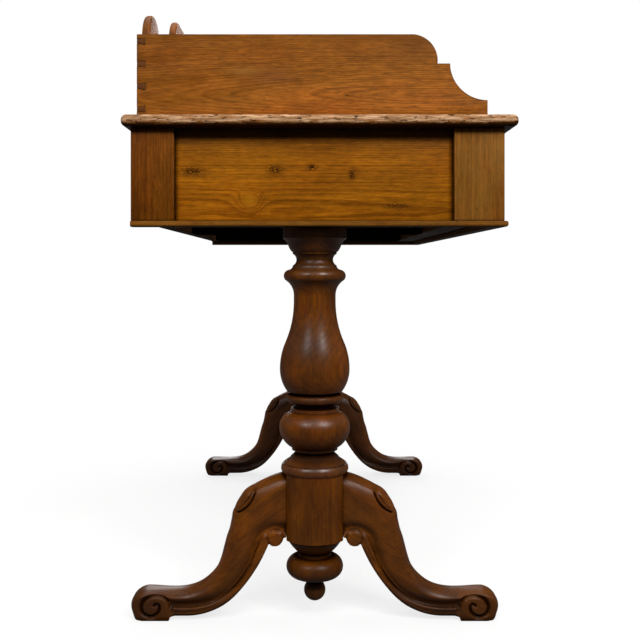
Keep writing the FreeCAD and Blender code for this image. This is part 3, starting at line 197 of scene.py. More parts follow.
# where each effect starts, and where it is full
limits = {
    "lateRise": (0.25, 0.86), "lateFall": (1.0, 0.93),                    # shares of one ring
    "ruddy": (0.35, 0.70), "fibre": (0.25, 0.75), "stainShadeMask": (0.25, 0.75),
    "endGrain": (0.75, 0.98), "underside": (-0.6, -0.95), "dusty": (0.60, 0.95),
    "corner": (0.985, 0.90), "joint": (0.92, 0.52), "waxed": (0.60, 0.94), "fold": (0.487, 0.450),
}


# an eye in a board: a bright core, and arcs of late wood round one half of it
def eyeFigure(tree, place, eye, stain, colour, late):
    core = softSpot(tree, place, eye["at"], [part * eye["coreShare"] for part in eye["size"]])
    colour = blendColours(tree, times(tree, core, eye["glow"]), colour, eye["core"])
    spread = fromSpot(tree, place, eye["at"], eye["size"])
    ragged = times(tree, calc(tree, "SUBTRACT", stain, 0.5), eye["ragged"])
    reach = put(tree, "VectorMath", {0: spread}, operation="LENGTH").outputs["Value"]
    reach = calc(tree, "ADD", reach, ragged)
    arcs = fade(tree, calc(tree, "FRACT", times(tree, reach, eye["arcs"])), *eye["arcShape"])
    ringed = times(tree, fade(tree, reach, *eye["arcsFrom"]), fade(tree, reach, *eye["arcsTo"]))
    rightHalf = fade(tree, put(tree, "SeparateXYZ", {0: spread}).outputs[1], *eye["half"])
    return blendColours(tree, times(tree, arcs, ringed, rightHalf, eye["arcDepth"]), colour, late)


# the rubbed border of the top board: heights are from the middle of its edge; below the middle its nose is
# darkened, partly grime and partly painted shade
rimWear = {"bite": 0.0065, "ragged": 0.012, "bare": (-0.0038, -0.0012), "rubbed": (0.34, 0.52, 0.20, 1.0),
           "grimeAndShade": (-0.0022, -0.0052), "grimeAndShadeDepth": 0.85, "knockDepth": 0.6}


def rubbedRim(tree, place, wood, box):
    spot = put(tree, "SeparateXYZ", {0: place})
    middle = (box[0] + box[1]) / 2
    half = (box[1] - box[0]) / 2
    sides = []
    for axis in (0, 1):
        away = calc(tree, "ABSOLUTE", calc(tree, "SUBTRACT", spot.outputs[axis], middle[axis]))
        sides.append(calc(tree, "SUBTRACT", away, half[axis] - wood["rim"]))
    border = fade(tree, calc(tree, "MAXIMUM", *sides), 0.0, wood["rim"] * 0.6)
    rub = pattern(tree, place, "rub")
    bite = calc(tree, "SUBTRACT", pattern(tree, place, "bite"), 0.5)
    height = calc(tree, "SUBTRACT", spot.outputs[2], middle[2])
    height = calc(tree, "MULTIPLY_ADD", bite, rimWear["bite"], height)
    ragged = calc(tree, "MULTIPLY_ADD", calc(tree, "SUBTRACT", rub, 0.5), rimWear["ragged"], height)
    bare = times(tree, border, fade(tree, ragged, *rimWear["bare"]), fade(tree, rub, *rimWear["rubbed"]))
    chalk = times(tree, pattern(tree, place, "chalk"), bare)
    # the lower half of the nose darkened: grime, and painted shade under the edge
    grimeAndShade = times(tree, fade(tree, ragged, *rimWear["grimeAndShade"]), rimWear["grimeAndShadeDepth"])
    dirt = times(tree, calc(tree, "MAXIMUM", pattern(tree, place, "pits"), grimeAndShade), border)
    return bare, chalk, dirt


def pineFinish(name, wood, grain, box):
    material = bpy.data.materials.new(name)
    material.use_nodes = True
    tree = material.node_tree
    shader = tree.nodes["Principled BSDF"]
    early, late, ruddy = (tinted(wood["tone"], *wood[key]) for key in ("early", "late", "ruddy"))
    coords = put(tree, "TexCoord")
    place, faceNormal = coords.outputs["Object"], coords.outputs["Normal"]
    turn = grain.rotation_difference(Vector((1, 0, 0)))
    start = -(turn @ ((box[0] + box[1]) / 2)) - Vector(wood["heart"])
    along = put(tree, "Mapping", {"Vector": place, "Location": start, "Rotation": turn.to_euler()}).outputs[0]

    # growth rings: distance from the heart, wandering a little along the board
    sway = calc(tree, "SUBTRACT", pattern(tree, along, "sway"), 0.5)
    split = put(tree, "SeparateXYZ", {0: along})
    across = calc(tree, "MULTIPLY_ADD", sway, wood["wander"], split.outputs[1])
    below = calc(tree, "MULTIPLY_ADD", sway, wood["wander"] * wood["wanderIn"], split.outputs[2])
    bent = put(tree, "CombineXYZ", {0: split.outputs[0], 1: across, 2: below}).outputs[0]
    away = calc(tree, "SQRT", calc(tree, "ADD", times(tree, across, across), times(tree, below, below)))
    for eye in wood.get("eyes", ()):
        bulge = softSpot(tree, place, eye["at"], eye["size"])
        away = calc(tree, "MULTIPLY_ADD", bulge, eye["rings"] * wood["ringGap"], away)
    rings = calc(tree, "DIVIDE", away, wood["ringGap"])
    step = calc(tree, "FRACT", rings)
    strong = put(tree, "TexWhiteNoise", {"W": calc(tree, "FLOOR", rings)}, noise_dimensions="1D").outputs[0]
    lateLine = times(tree, fade(tree, step, *limits["lateRise"]), fade(tree, step, *limits["lateFall"]))
    strong = calc(tree, "MULTIPLY_ADD", strong, 1.0 - wood["faintest"], wood["faintest"])
    lateShare = times(tree, lateLine, strong)

    # fibres, resin dashes, streaks and broad changes of tone
    fibre = pattern(tree, along, "fibre")
    stain = pattern(tree, along, "stain")
    colour = blendColours(tree, fade(tree, stain, *limits["ruddy"]), early, ruddy)
    colour = blendColours(tree, times(tree, lateShare, wood["ringDepth"]), colour, late)
    shade = fade(tree, fibre, *limits["fibre"], *wood["fibre"])
    colour = blendColours(tree, 1.0, colour, shade, "MULTIPLY")
    dash = times(tree, pattern(tree, along, "dash"), wood["dashDepth"])
    colour = blendColours(tree, dash, colour, darker(late, wood["dashTone"]))
    for key in ("streak", "grit", "mottle"):
        shade = pattern(tree, bent, key, 1.0 - wood[key], 1.0 + wood[key])
        colour = blendColours(tree, 1.0, colour, shade, "MULTIPLY")
    colour = blendColours(tree, 1.0, colour, pattern(tree, along, "broad", *wood["broad"]), "MULTIPLY")
    for eye in wood.get("eyes", ()):
        colour = eyeFigure(tree, place, eye, stain, colour, late)
    # stains, and the painted shade carried in the same lists
    for mark in wood.get("stainsAndShade", ()):
        stainShadeMask = softSpot(tree, place, mark["at"], mark["size"])
        uneven = fade(tree, stain, *limits["stainShadeMask"], mark["deep"] * 0.5, mark["deep"])
        stainShadeMask = times(tree, stainShadeMask, uneven)
        colour = blendColours(tree, stainShadeMask, colour, mark["colour"])
    if wood["grey"]:
        film = times(tree, pattern(tree, along, "film"), wood["grey"])
        colour = blendColours(tree, film, colour, wood["film"])

    # end grain drinks the stain, and faces that look down are painted dark as shade
    faceWay = put(tree, "Mapping", {"Vector": faceNormal, "Rotation": turn.to_euler()}, vector_type="VECTOR")
    endOn = calc(tree, "ABSOLUTE", put(tree, "SeparateXYZ", {0: faceWay.outputs[0]}).outputs[0])
    endOn = fade(tree, endOn, *limits["endGrain"], 0.0, wood["endDark"])
    colour = blendColours(tree, endOn, colour, darker(late, wood["endTone"]))
    facing = put(tree, "SeparateXYZ", {0: faceNormal}).outputs[2]
    undersideShading = times(tree, fade(tree, facing, *limits["underside"]), wood["undersideShade"])
    colour = blendColours(tree, undersideShading, colour, wood["undersideShadeTone"])

    # knocks and specks of dirt, and rubbed corners
    knocks = times(tree, pattern(tree, along, "fleck"), pattern(tree, along, "patch"), wood["specks"])
    for mark in wood.get("marks", ()):
        hit = softSpot(tree, place, mark["at"], mark["size"])
        hit = times(tree, hit, pattern(tree, along, "ragged"), mark["deep"])
        knocks = calc(tree, "MAXIMUM", knocks, hit)
    rounded = put(tree, "Bevel", {"Radius": wood["edge"]}, samples=4).outputs[0]
    flat = put(tree, "NewGeometry").outputs["Normal"]
    corner = put(tree, "VectorMath", {0: rounded, 1: flat}, operation="DOT_PRODUCT").outputs["Value"]
    corner = fade(tree, corner, *limits["corner"])
    rubbed = times(tree, corner, pattern(tree, along, "broken"), wood["wear"])
    if wood["rim"]:
        bare, chalk, dirt = rubbedRim(tree, place, wood, box)
        rubbed = calc(tree, "MAXIMUM", rubbed, bare)
        knocks = calc(tree, "MAXIMUM", knocks, dirt)
    colour = blendColours(tree, rubbed, colour, wood["worn"])
    if wood["rim"]:
        colour = blendColours(tree, chalk, colour, tinted(wood["worn"], *wood["chalk"]))
    colour = blendColours(tree, knocks, colour, tinted(late, *wood["knock"]))

    # dirt in joints and carved lines, where the wax is dull too
    closed = put(tree, "AmbientOcclusion", {"Distance": wood["grooveReach"]}, samples=6).outputs["AO"]
    held = times(tree, fade(tree, closed, *limits["joint"]), wood["groove"])
    colour = blendColours(tree, held, colour, darker(late, wood["dirt"]))
    shine = fade(tree, closed, *limits["waxed"], 0.0, wood["shine"])
    if wood["dust"]:
        clean = fade(tree, facing, *limits["dusty"], 1.0, 1.0 - wood["dust"])
        shine = times(tree, shine, clean)
    for glint in wood.get("glints", ()):
        polished = softSpot(tree, place, glint["at"], glint["size"])
        shine = calc(tree, "MULTIPLY_ADD", polished, glint["more"], shine)
    give(tree, shader.inputs["Specular IOR Level"], shine)
    if wood["crease"]:
        fold = put(tree, "NewGeometry").outputs["Pointiness"]
        fold = fade(tree, fold, *limits["fold"], 0.0, wood["crease"])
        colour = blendColours(tree, fold, colour, darker(late, wood["dirt"]))
    give(tree, shader.inputs["Base Color"], colour)

    smear = calc(tree, "SUBTRACT", pattern(tree, along, "smear"), 0.5)
    dull = calc(tree, "MULTIPLY_ADD", smear, wood["smear"], wood["rough"])
    give(tree, shader.inputs["Roughness"], calc(tree, "MULTIPLY_ADD", rubbed, wood["wornRough"], dull))
    height = times(tree, lateShare, wood["lateHeight"])
    height = calc(tree, "MULTIPLY_ADD", fibre, wood["fibreHeight"], height)
    height = calc(tree, "MULTIPLY_ADD", knocks, -wood["knockDepth"], height)
    relief = put(tree, "Bump", {"Strength": 0.5, "Distance": wood["bump"], "Height": height})
    give(tree, shader.inputs["Normal"], relief.outputs[0])
    return material


# cut screw iron, dull and brown with rust
ironWork = {"bare": (0.16, 0.15, 0.14, 1.0), "rust": (0.12, 0.045, 0.02, 1.0), "rough": 0.5, "rustRough": 0.85,
            "blooms": 420.0, "rusty": (0.42, 0.60), "metal": 0.9, "rustMetal": 0.1, "relief": 0.0003}


def ironFinish():
    material = bpy.data.materials.new("oldIron")
    material.use_nodes = True
    tree = material.node_tree
    shader = tree.nodes["Principled BSDF"]
    spot = put(tree, "TexCoord").outputs["Object"]
    bloom = put(tree, "TexNoise", {"Vector": spot, "Scale": ironWork["blooms"], "Detail": 5.0}).outputs[0]
    rusty = fade(tree, bloom, *ironWork["rusty"])
    give(tree, shader.inputs["Base Color"], blendColours(tree, rusty, ironWork["bare"], ironWork["rust"]))
    give(tree, shader.inputs["Metallic"], fade(tree, rusty, 0.0, 1.0, ironWork["metal"], ironWork["rustMetal"]))
    give(tree, shader.inputs["Roughness"], fade(tree, rusty, 0.0, 1.0, ironWork["rough"], ironWork["rustRough"]))
    relief = put(tree, "Bump", {"Strength": 0.4, "Distance": ironWork["relief"], "Height": bloom})
    give(tree, shader.inputs["Normal"], relief.outputs[0])
    return material


mergeGap = 0.00002
flatAngle, smoothAngle, cornerAngle = math.radians(0.5), math.radians(38), math.radians(50)


# a working copy of a CAD solid: merged, with its own plain normals
def workingCopy(node, name):
    mesh = frame["nodes"][node].data.copy()
    mesh.name = name
    mesh.materials.clear()
    piece = bpy.data.objects.new(name, mesh)
    bpy.context.scene.collection.objects.link(piece)
    bpy.ops.object.select_all(action="DESELECT")
    piece.select_set(True)
    bpy.context.view_layer.objects.active = piece
    bpy.ops.mesh.customdata_custom_splitnormals_clear()
    bpy.ops.object.mode_set(mode="EDIT")
    bpy.ops.mesh.select_all(action="SELECT")
    bpy.ops.mesh.remove_doubles(threshold=mergeGap)
    bpy.ops.object.mode_set(mode="OBJECT")
    return piece


def applied(piece, kind, **settings):
    change = piece.modifiers.new(kind.lower(), kind)
    for key, value in settings.items():
        setattr(change, key, value)
    bpy.ops.object.modifier_apply(modifier=change.name)


def standsFor(piece, node, finish):
    piece.data.materials.append(finish)
    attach(piece, bodyOf[node])
    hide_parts(node)


# the ears and crest of the gallery back are rubbed rounder than the other edges
crown = {"earInside": 0.386, "earFoot": 0.8493, "crestFoot": 0.8995, "round": 0.0042, "seat": 0.7345}


def onCrown(edge):
    ends = [vertex.co for vertex in edge.verts]
    outside = min(abs(end.x) for end in ends) > crown["earInside"]
    onEar = outside and max(end.z for end in ends) > crown["earFoot"]
    return onEar or min(end.z for end in ends) > crown["crestFoot"]


def weighCrown(mesh, ease):
    shape = bmesh.new()
    shape.from_mesh(mesh)
    weight = shape.edges.layers.float.new("bevel_weight_edge")
    for edge in shape.edges:
        # the foot of the board and its screw holes stay sharp
        seated = max(vertex.co.z for vertex in edge.verts) < crown["seat"]
        if edge.calc_face_angle(0.0) > cornerAngle and not seated:
            edge[weight] = 1.0 if onCrown(edge) else ease / crown["round"]
    shape.to_mesh(mesh)
    shape.free()


# a board with its corners eased by years of handling
def easedBoard(node, ease):
    piece = workingCopy(node, node + "_eased")
    bpy.ops.object.mode_set(mode="EDIT")
    bpy.ops.mesh.select_all(action="SELECT")
    bpy.ops.mesh.dissolve_limited(angle_limit=flatAngle)
    bpy.ops.object.mode_set(mode="OBJECT")
    if node == "gallery_back":
        weighCrown(piece.data, ease)
        applied(piece, "BEVEL", width=crown["round"], segments=4, limit_method="WEIGHT", use_clamp_overlap=False)
    else:
        applied(piece, "BEVEL", width=ease, segments=2, limit_method="ANGLE", angle_limit=cornerAngle)
    bpy.ops.object.shade_smooth_by_angle(angle=smoothAngle)
    return piece


# stains, painted shade and marks, placed in the stand's own frame
everywhere = 9                        # wider than the stand


def stainAndShadeSpot(at, size, deep, colour):
    return {"at": at, "size": size, "deep": deep, "colour": (*colour, 1.0)}


# a band at one height, all round, that darkens the wood; on the columns it is painted shade
def band(z, reach, deep, colour):
    return stainAndShadeSpot((0, 0, z), (everywhere, everywhere, reach), deep, colour)


panelFace = -0.5065
panelMarks = [
    {"at": (panelFace, 0.186, 0.655), "size": (0.02, 0.018, 0.0064), "deep": 1.0},
    {"at": (panelFace, 0.069, 0.657), "size": (0.02, 0.012, 0.0066), "deep": 1.0},
    {"at": (panelFace, 0.016, 0.661), "size": (0.02, 0.0075, 0.0052), "deep": 1.0},
    {"at": (panelFace, -0.041, 0.650), "size": (0.02, 0.0052, 0.0080), "deep": 1.0},
    {"at": (panelFace, -0.104, 0.606), "size": (0.02, 0.019, 0.0048), "deep": 0.8},
]
panelEyes = [{"at": (panelFace, 0.1046, 0.613), "size": (0.05, 0.017, 0.014), "rings": 3.4, "glow": 0.55,
              "core": (0.43, 0.165, 0.006, 1.0), "coreShare": 0.6, "ragged": 0.5, "arcs": 3.6,
              "arcShape": (0.45, 0.80), "arcsFrom": (0.62, 0.78), "arcsTo": (1.75, 1.2), "half": (0.35, -0.65),
              "arcDepth": 0.6}]
recessShadeSize = (0.05, 0.0042, 0.5)      # painted shade in the recess between panel and post
# painted shadow of the top's overhang along the top of the panel, and painted shade beside each post
panelPaintedShade = [
    stainAndShadeSpot((panelFace, 0.0, 0.7110), (0.05, 0.9, 0.0165), 1.0, (0.012, 0.004, 0.001)),
    stainAndShadeSpot((panelFace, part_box("post_back_left")[0].y, 0.66), recessShadeSize, 1.0, (0.010, 0.003, 0.001)),
    stainAndShadeSpot((panelFace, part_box("post_front_left")[1].y, 0.66), recessShadeSize, 1.0, (0.010, 0.003, 0.001)),
]
galleryFace = -0.5135
galleryStains = [
    # darker along the top edge of the side
    stainAndShadeSpot((galleryFace, 0.016, 0.853), (0.05, 0.6, 0.018), 0.75, (0.105, 0.036, 0.004)),
    stainAndShadeSpot((galleryFace, 0.070, 0.789), (0.05, 0.030, 0.012), 0.50, (0.160, 0.052, 0.022)),
    stainAndShadeSpot((galleryFace, 0.112, 0.797), (0.05, 0.024, 0.006), 0.45, (0.300, 0.150, 0.030)),
    stainAndShadeSpot((galleryFace, -0.126, 0.828), (0.05, 0.036, 0.013), 0.60, (0.085, 0.030, 0.005)),
    stainAndShadeSpot((galleryFace, 0.200, 0.760), (0.05, 0.070, 0.030), 0.35, (0.320, 0.095, 0.004)),
]
# darker at the tops of the ears
earTopsDarker = [stainAndShadeSpot((way * 0.478, 0.28, 0.8830), (0.045, 0.1, 0.0110), 0.8, (0.040, 0.016, 0.006)) for way in (-1, 1)]
stripLine = [band(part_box("moulding_left")[1].z, 0.0022, 0.95, (0.050, 0.017, 0.004))]
# darker towards the floor
darkerToFloor = [band(-0.005, 0.075, 0.95, (0.030, 0.010, 0.002))]

# columns: painted shade in the necks and hollows and down one side of the near vase, darker towards the floor, and
# rings polished by dusting
columnPaintedShade = darkerToFloor + [
    band(0.5290, 0.0080, 0.70, (0.030, 0.010, 0.002)),
    band(0.0800, 0.0220, 0.50, (0.040, 0.013, 0.003)),
    band(0.5480, 0.0160, 0.35, (0.025, 0.008, 0.002)),
    band(0.5140, 0.0110, 0.40, (0.050, 0.018, 0.004)),
    band(0.3230, 0.0110, 0.55, (0.035, 0.013, 0.006)),
    band(0.2400, 0.0120, 1.00, (0.025, 0.009, 0.003)),
    stainAndShadeSpot((-0.490, 0.036, 0.4100), (0.030, 0.034, 0.0360), 0.75, (0.036, 0.017, 0.009)),
    stainAndShadeSpot((-0.497, 0.004, 0.4050), (0.030, 0.030, 0.0300), 0.40, (0.050, 0.021, 0.009)),
]
columnGlints = [
    {"at": (0, 0, 0.5165), "size": (everywhere, everywhere, 0.0075), "more": 1.70},
    {"at": (0, 0, 0.2970), "size": (everywhere, everywhere, 0.0080), "more": 0.90},
    {"at": (0, 0, 0.2260), "size": (everywhere, everywhere, 0.0070), "more": 0.90},
]

# finishes by group, and what single pieces add to them
woods = {
    # the gallery's worn colour is near black, so its corners and dovetail seams come out dark
    "gallery": dict(pine, tone=(0.245, 0.080, 0.009), worn=(0.050, 0.018, 0.005, 1.0), wear=0.9, edge=0.0050,
                    ringDepth=0.62, specks=1.0),
    "panel": dict(pine, tone=(0.284, 0.093, 0.003), ringGap=0.0029, ringDepth=0.66, specks=0.7, wander=0.026,
                  stainsAndShade=panelPaintedShade),
    "frameBack": dict(pine, tone=(0.145, 0.044, 0.003), ringGap=0.0026, ringDepth=0.5),
    "frameFront": dict(pine, tone=(0.180, 0.066, 0.008), ringGap=0.0022, ringDepth=0.45, grey=0.45, specks=0.9),
    "strip": dict(pine, tone=(0.168, 0.060, 0.006), ringGap=0.0024, wear=0.8, specks=1.0, grey=0.25,
                  stainsAndShade=stripLine),
    "top": dict(pine, tone=(0.235, 0.085, 0.016), worn=(0.262, 0.137, 0.062, 1.0), endDark=0.0, rim=0.017,
                wear=0.7, rough=0.40, knockDepth=rimWear["knockDepth"]),
    "drawer": dict(pine, tone=(0.250, 0.084, 0.009), rough=0.42),
    "stained": dict(pine, tone=(0.124, 0.034, 0.0004), worn=(0.170, 0.060, 0.016, 1.0), ringGap=0.0034,
                    ringDepth=0.5, wear=0.25, endDark=0.35, rough=0.38, shine=0.36, groove=0.95,
                    grooveReach=0.012, specks=0.5, bump=0.0003, undersideShade=0.0, mottle=0.32, streak=0.06, grit=0.12,
                    stainsAndShade=darkerToFloor),
    # bearers and runner under the box are painted near black as shade, not in their own colour
    "shadeBlack": dict(pine, tone=(0.012, 0.007, 0.004), specks=0.0, wear=0.0, shine=0.0),
    "raw": dict(pine, tone=(0.330, 0.180, 0.075), worn=(0.40, 0.26, 0.13, 1.0), rough=0.78, shine=0.12,
                specks=0.8, endDark=0.35, wear=0.2),
}
columnExtras = {"stainsAndShade": columnPaintedShade, "glints": columnGlints, "dust": 1.0}
extras = {
    "gallery_side_left": {"stainsAndShade": galleryStains},
    "gallery_back": {"shine": 0.24, "endDark": 0.66, "bump": 0.00006, "stainsAndShade": earTopsDarker},
    "end_panel_left": {"marks": panelMarks, "eyes": panelEyes},
    "column_left": columnExtras,
    "column_right": columnExtras,
}

# every piece with the way of its grain; T is a side's grain, running a little askew
grains = {"X": Vector((1, 0, 0)), "Y": Vector((0, 1, 0)), "Z": Vector((0, 0, 1)),
          "T": Vector((0.07, 1, 0.0)).normalized()}
easedPieces = {
    "gallery": (0.0009, "gallery_side_left:T gallery_side_right:T gallery_back:X"),
    "panel": (0.0006, "end_panel_left:Y end_panel_right:Y"),
    "frameBack": (0.0009, "post_back_left:Z post_back_right:Z"),
    "frameFront": (0.0009, "post_front_left:Z post_front_right:Z muntin:Z top_rail:X bottom_rail:X"),
    "drawer": (0.0012, "drawer_left_front:X drawer_right_front:X"),
}
plainPieces = {
    "shadeBlack": "bearer_left:Y bearer_right:Y centre_runner:Y",
    "strip": "moulding_front:X moulding_left:Y moulding_right:Y",
    "top": "top_board:X",
    "stained": "column_left:Z column_right:Z ball_drop_left:Z ball_drop_right:Z stretcher:X drawer_left_knob_a:Y "
               "drawer_left_knob_b:Y drawer_right_knob_a:Y drawer_right_knob_b:Y",
    "raw": "carcass_back:X guide_left:Y guide_right:Y kicker_left:Y kicker_right:Y "
           "centre_guide:Y centre_kicker:Y glue_blocks:X drawer_stops:X column_wedges:Z "
           "drawer_left_side_left:Y drawer_left_side_right:Y drawer_right_side_left:Y drawer_right_side_right:Y "
           "drawer_left_back:X drawer_right_back:X drawer_left_bottom:Y drawer_right_bottom:Y",
}
# heart lines, from the middle of the piece: along the grain, then across it
hearts = {
    "gallery_side_left": (0.12, -0.006, -0.028),
    "gallery_side_right": (0.31, -0.040, -0.020),
    "end_panel_left": (0.2, 0.055, -0.045),
    "top_board": (0.4, 0.05, -0.09),
}


# each piece gets its own heart line, so no two show the same figure; turnings have theirs inside
def heartFor(node, group, count):
    if group == "stained":
        return (0.3 * count % 1.0, 0.004 + 0.003 * (count % 3), 0.006)
    spot = (0.37 * count % 1.0, 0.03 + 0.013 * (count % 3), -0.045 - 0.017 * (count % 4))
    return hearts.get(node, spot)


def finishFor(node, group, axis, count):
    wood = dict(woods[group], heart=heartFor(node, group, count), **extras.get(node, {}))
    return pineFinish(node + "Pine", wood, grains[axis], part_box(node))


def recoat(node, finish):
    solid = frame["nodes"][node].data
    solid.materials.clear()
    solid.materials.append(finish)


def listed(rows):
    return [row.split(":") for row in rows.split()]


count = 0
for group, (ease, rows) in easedPieces.items():
    for node, axis in listed(rows):
        count += 1
        standsFor(easedBoard(node, ease), node, finishFor(node, group, axis, count))
for group, rows in plainPieces.items():
    for node, axis in listed(rows):
        count += 1
        recoat(node, finishFor(node, group, axis, count))
recoat("gallery_screws", ironFinish())
print("boards and turnings finished:", count)

# scroll legs: each follows the solid, then is carved. u runs out from the column, z is height
legs = {
    "columnX": -0.4505, "columnY": 0.012, "half": 0.023, "root": 0.035, "voxel": 0.0011, "smooth": 5,
    "lower": ((0.2176, 0.0), (0.2116, 0.0059), (0.1877, 0.0059), (0.1690, 0.0077), (0.1510, 0.0131),
              (0.1345, 0.0221), (0.1190, 0.0333), (0.1048, 0.0485), (0.0922, 0.0656), (0.0790, 0.0880),
              (0.0676, 0.1120)),
    "upper": ((0.0417, 0.2130), (0.0710, 0.2025), (0.0900, 0.1935), (0.1050, 0.1797), (0.1170, 0.1600),
              (0.1248, 0.1430), (0.1377, 0.0930), (0.1455, 0.0730), (0.1610, 0.0565), (0.1790, 0.0465),
              (0.2030, 0.0420), (0.2400, 0.0417), (0.2530, 0.0412), (0.2630, 0.0368), (0.2698, 0.0290),
              (0.2720, 0.0190), (0.2695, 0.0090)),
    "valley": ((0.0420, 0.1335), (0.0560, 0.1352), (0.0655, 0.1342), (0.0770, 0.1282), (0.0835, 0.1185),
               (0.0910, 0.0945), (0.1002, 0.0725), (0.1172, 0.0495), (0.1375, 0.0335), (0.1592, 0.0250),
               (0.1844, 0.0218), (0.2050, 0.0220), (0.2118, 0.0230)),
    "scroll": ((0.2100, 0.0100), (0.2110, 0.0185), (0.2138, 0.0260), (0.2190, 0.0326), (0.2268, 0.0358),
               (0.2350, 0.0364), (0.2432, 0.0346), (0.2510, 0.0290), (0.2548, 0.0200), (0.2516, 0.0108),
               (0.2410, 0.0058), (0.2314, 0.0100), (0.2280, 0.0168), (0.2288, 0.0220), (0.2324, 0.0240),
               (0.2356, 0.0218)),
    "valleyDeep": 0.0064, "valleyEnd": (0.2165, 0.2115), "beadSide": 0.0032, "bodySide": 0.0080,
    "faceFrom": 0.0150,               # nearer the middle than this, nothing is sunk
    "kneeFull": 0.0046, "kneeAt": 0.172, "kneeSpread": 0.019,
    "rootFull": 0.0030, "rootAt": 0.058, "rootSpread": 0.024,
    "fullTo": 0.034,                  # depth under the upper edge where the filling ends
}
# bead along the lower edge, and the curl at its top
bead = {"wide": 0.0060, "fade": 0.0125, "reach": 0.0130, "end": (0.2125, 0.2055), "sunk": 0.0020, "lip": 0.0011,
        "lipWide": 0.0012, "roll": 0.0030, "curl": (0.100, 0.116), "curlSunk": 0.0022, "curlOut": 0.080,
        "curlTop": 0.1345}
# round boss inside the curl, with a groove that stops short of the bead
boss = {"at": (0.0577, 0.1195), "radius": 0.0112, "hold": 0.0125, "holdTop": 0.1330, "reach": 0.02, "top": 0.136,
        "dome": 0.0012, "groove": 0.0122, "grooveDeep": 0.0024, "grooveWide": 0.0015, "slope": 0.9, "drop": 0.002}
# groove of the scroll, shallower and narrower towards its eye
volute = {"from": 0.185, "top": 0.045, "deep": 0.0054, "lessDeep": 0.0018, "wide": 0.0029, "lessWide": 0.0009,
          "start": (-0.05, 0.12)}
# block under the foot, squared to the floor
foot = {"from": 0.2135, "to": 0.2550, "tall": 0.010, "flat": 0.013, "power": 6, "most": 1.6}
# upper edge rolled over, most at the knee and least at the toe
roll = {"turn": 0.019, "knee": 0.011, "kneeAt": 0.085, "kneeSpread": 0.035, "toe": 0.012, "toeFrom": (0.185, 0.250),
        "reach": 0.03, "slack": 0.0005}
# leaf over the knee, two lines round a scooped middle, and a narrow scoop down the shin
leaf = {"top": (0.0865, 0.1965), "end": (0.1203, 0.1550), "wide": 0.0090, "inset": 0.0015,
        "outerDeep": 0.0030, "outerWide": 0.0012, "outerTips": (0.0, 0.40),
        "innerDeep": 0.0021, "innerWide": 0.0011, "innerTips": (0.12, 0.45),
        "proud": 0.0010, "proudOver": 0.0035, "scoop": 0.0026, "scoopOver": 0.0030, "scoopAlong": (0.25, 0.65)}
knee = {"from": 0.07, "to": 0.14, "above": 0.11}             # nothing is cut outside this
shin = {"foot": 0.116, "footFade": 0.132, "headFade": 0.144, "head": 0.158, "from": 0.112, "deep": 0.0012,
        "wide": 0.0045}


class ShapeLine:
    def __init__(self, points, spacing):
        corners = [Vector(point) for point in points]
        self.spots = []
        for here in range(len(corners) - 1):
            before = corners[max(here - 1, 0)]
            after = corners[min(here + 2, len(corners) - 1)]
            start, end = corners[here], corners[here + 1]
            steps = max(2, int((end - start).length / spacing))
            for n in range(steps):
                t = n / steps
                self.spots.append(0.5 * (2 * start + (end - before) * t
                                         + (2 * before - 5 * start + 4 * end - after) * t ** 2
                                         + (3 * start - before - 3 * end + after) * t ** 3))
        self.tree = kdtree.KDTree(len(self.spots))
        for n, spot in enumerate(self.spots):
            self.tree.insert((spot.x, spot.y, 0), n)
        self.tree.balance()

    def nearest(self, u, z):
        spot, n, gap = self.tree.find((u, z, 0))
        return n, gap

    def inward(self, n):
        ahead = self.spots[min(n + 1, len(self.spots) - 1)] - self.spots[max(n - 1, 0)]
        return Vector((ahead.y, -ahead.x)).normalized()


lineSpacing = 0.0004
legLines = {name: ShapeLine(legs[name], lineSpacing) for name in ("lower", "upper", "valley", "scroll")}


def eased(value, low, high):
    t = min(1.0, max(0.0, (value - low) / (high - low)))
    return t * t * (3 - 2 * t)


def hump(value, width):
    return math.exp(-(value / width) ** 2)


# how far the carved face lies below the flat of the leg, at one place on it
def faceDepth(u, z):
    edgeGap = legLines["lower"].nearest(u, z)[1]
    valleyGap = legLines["valley"].nearest(u, z)[1]
    onBand = eased(u, *bead["end"])
    fromBoss = Vector((u, z)) - Vector(boss["at"])
    bossGap = fromBoss.length
    onBoss = bossGap < boss["hold"] and z < boss["holdTop"]
    overCurl = u < bead["curlOut"] and z > bead["curlTop"]
    beyond = (edgeGap > bead["reach"] and not onBoss) or overCurl
    wide = legs["bodySide"] if beyond else legs["beadSide"]
    deep = legs["valleyDeep"] * hump(valleyGap, wide) * eased(u, *legs["valleyEnd"])
    if not beyond:
        onBead = 1 - eased(edgeGap, bead["wide"], bead["fade"])
        nearCurl = eased(z, *bead["curl"])
        lip = bead["lip"] * hump(edgeGap - bead["wide"], bead["lipWide"])
        deep += (bead["sunk"] + lip) * onBead * onBand * (1 - nearCurl)
        deep += bead["roll"] * max(0.0, 1 - edgeGap / bead["wide"]) ** 2 * onBand * (1 - nearCurl)
        deep += bead["curlSunk"] * nearCurl * onBand
    if bossGap < boss["reach"] and z < boss["top"]:
        if bossGap < boss["radius"]:
            deep += boss["dome"] * (bossGap / boss["radius"]) ** 3
        if fromBoss.y > -boss["slope"] * abs(fromBoss.x) - boss["drop"]:
            deep += boss["grooveDeep"] * hump(bossGap - boss["groove"], boss["grooveWide"])
    if u > volute["from"] and z < volute["top"]:
        scrollIndex, scrollGap = legLines["scroll"].nearest(u, z)
        tail = scrollIndex / len(legLines["scroll"].spots)
        cut = (volute["deep"] - volute["lessDeep"] * tail) * eased(tail, *volute["start"])
        deep = max(deep, cut * hump(scrollGap, volute["wide"] - volute["lessWide"] * tail))
    return deep


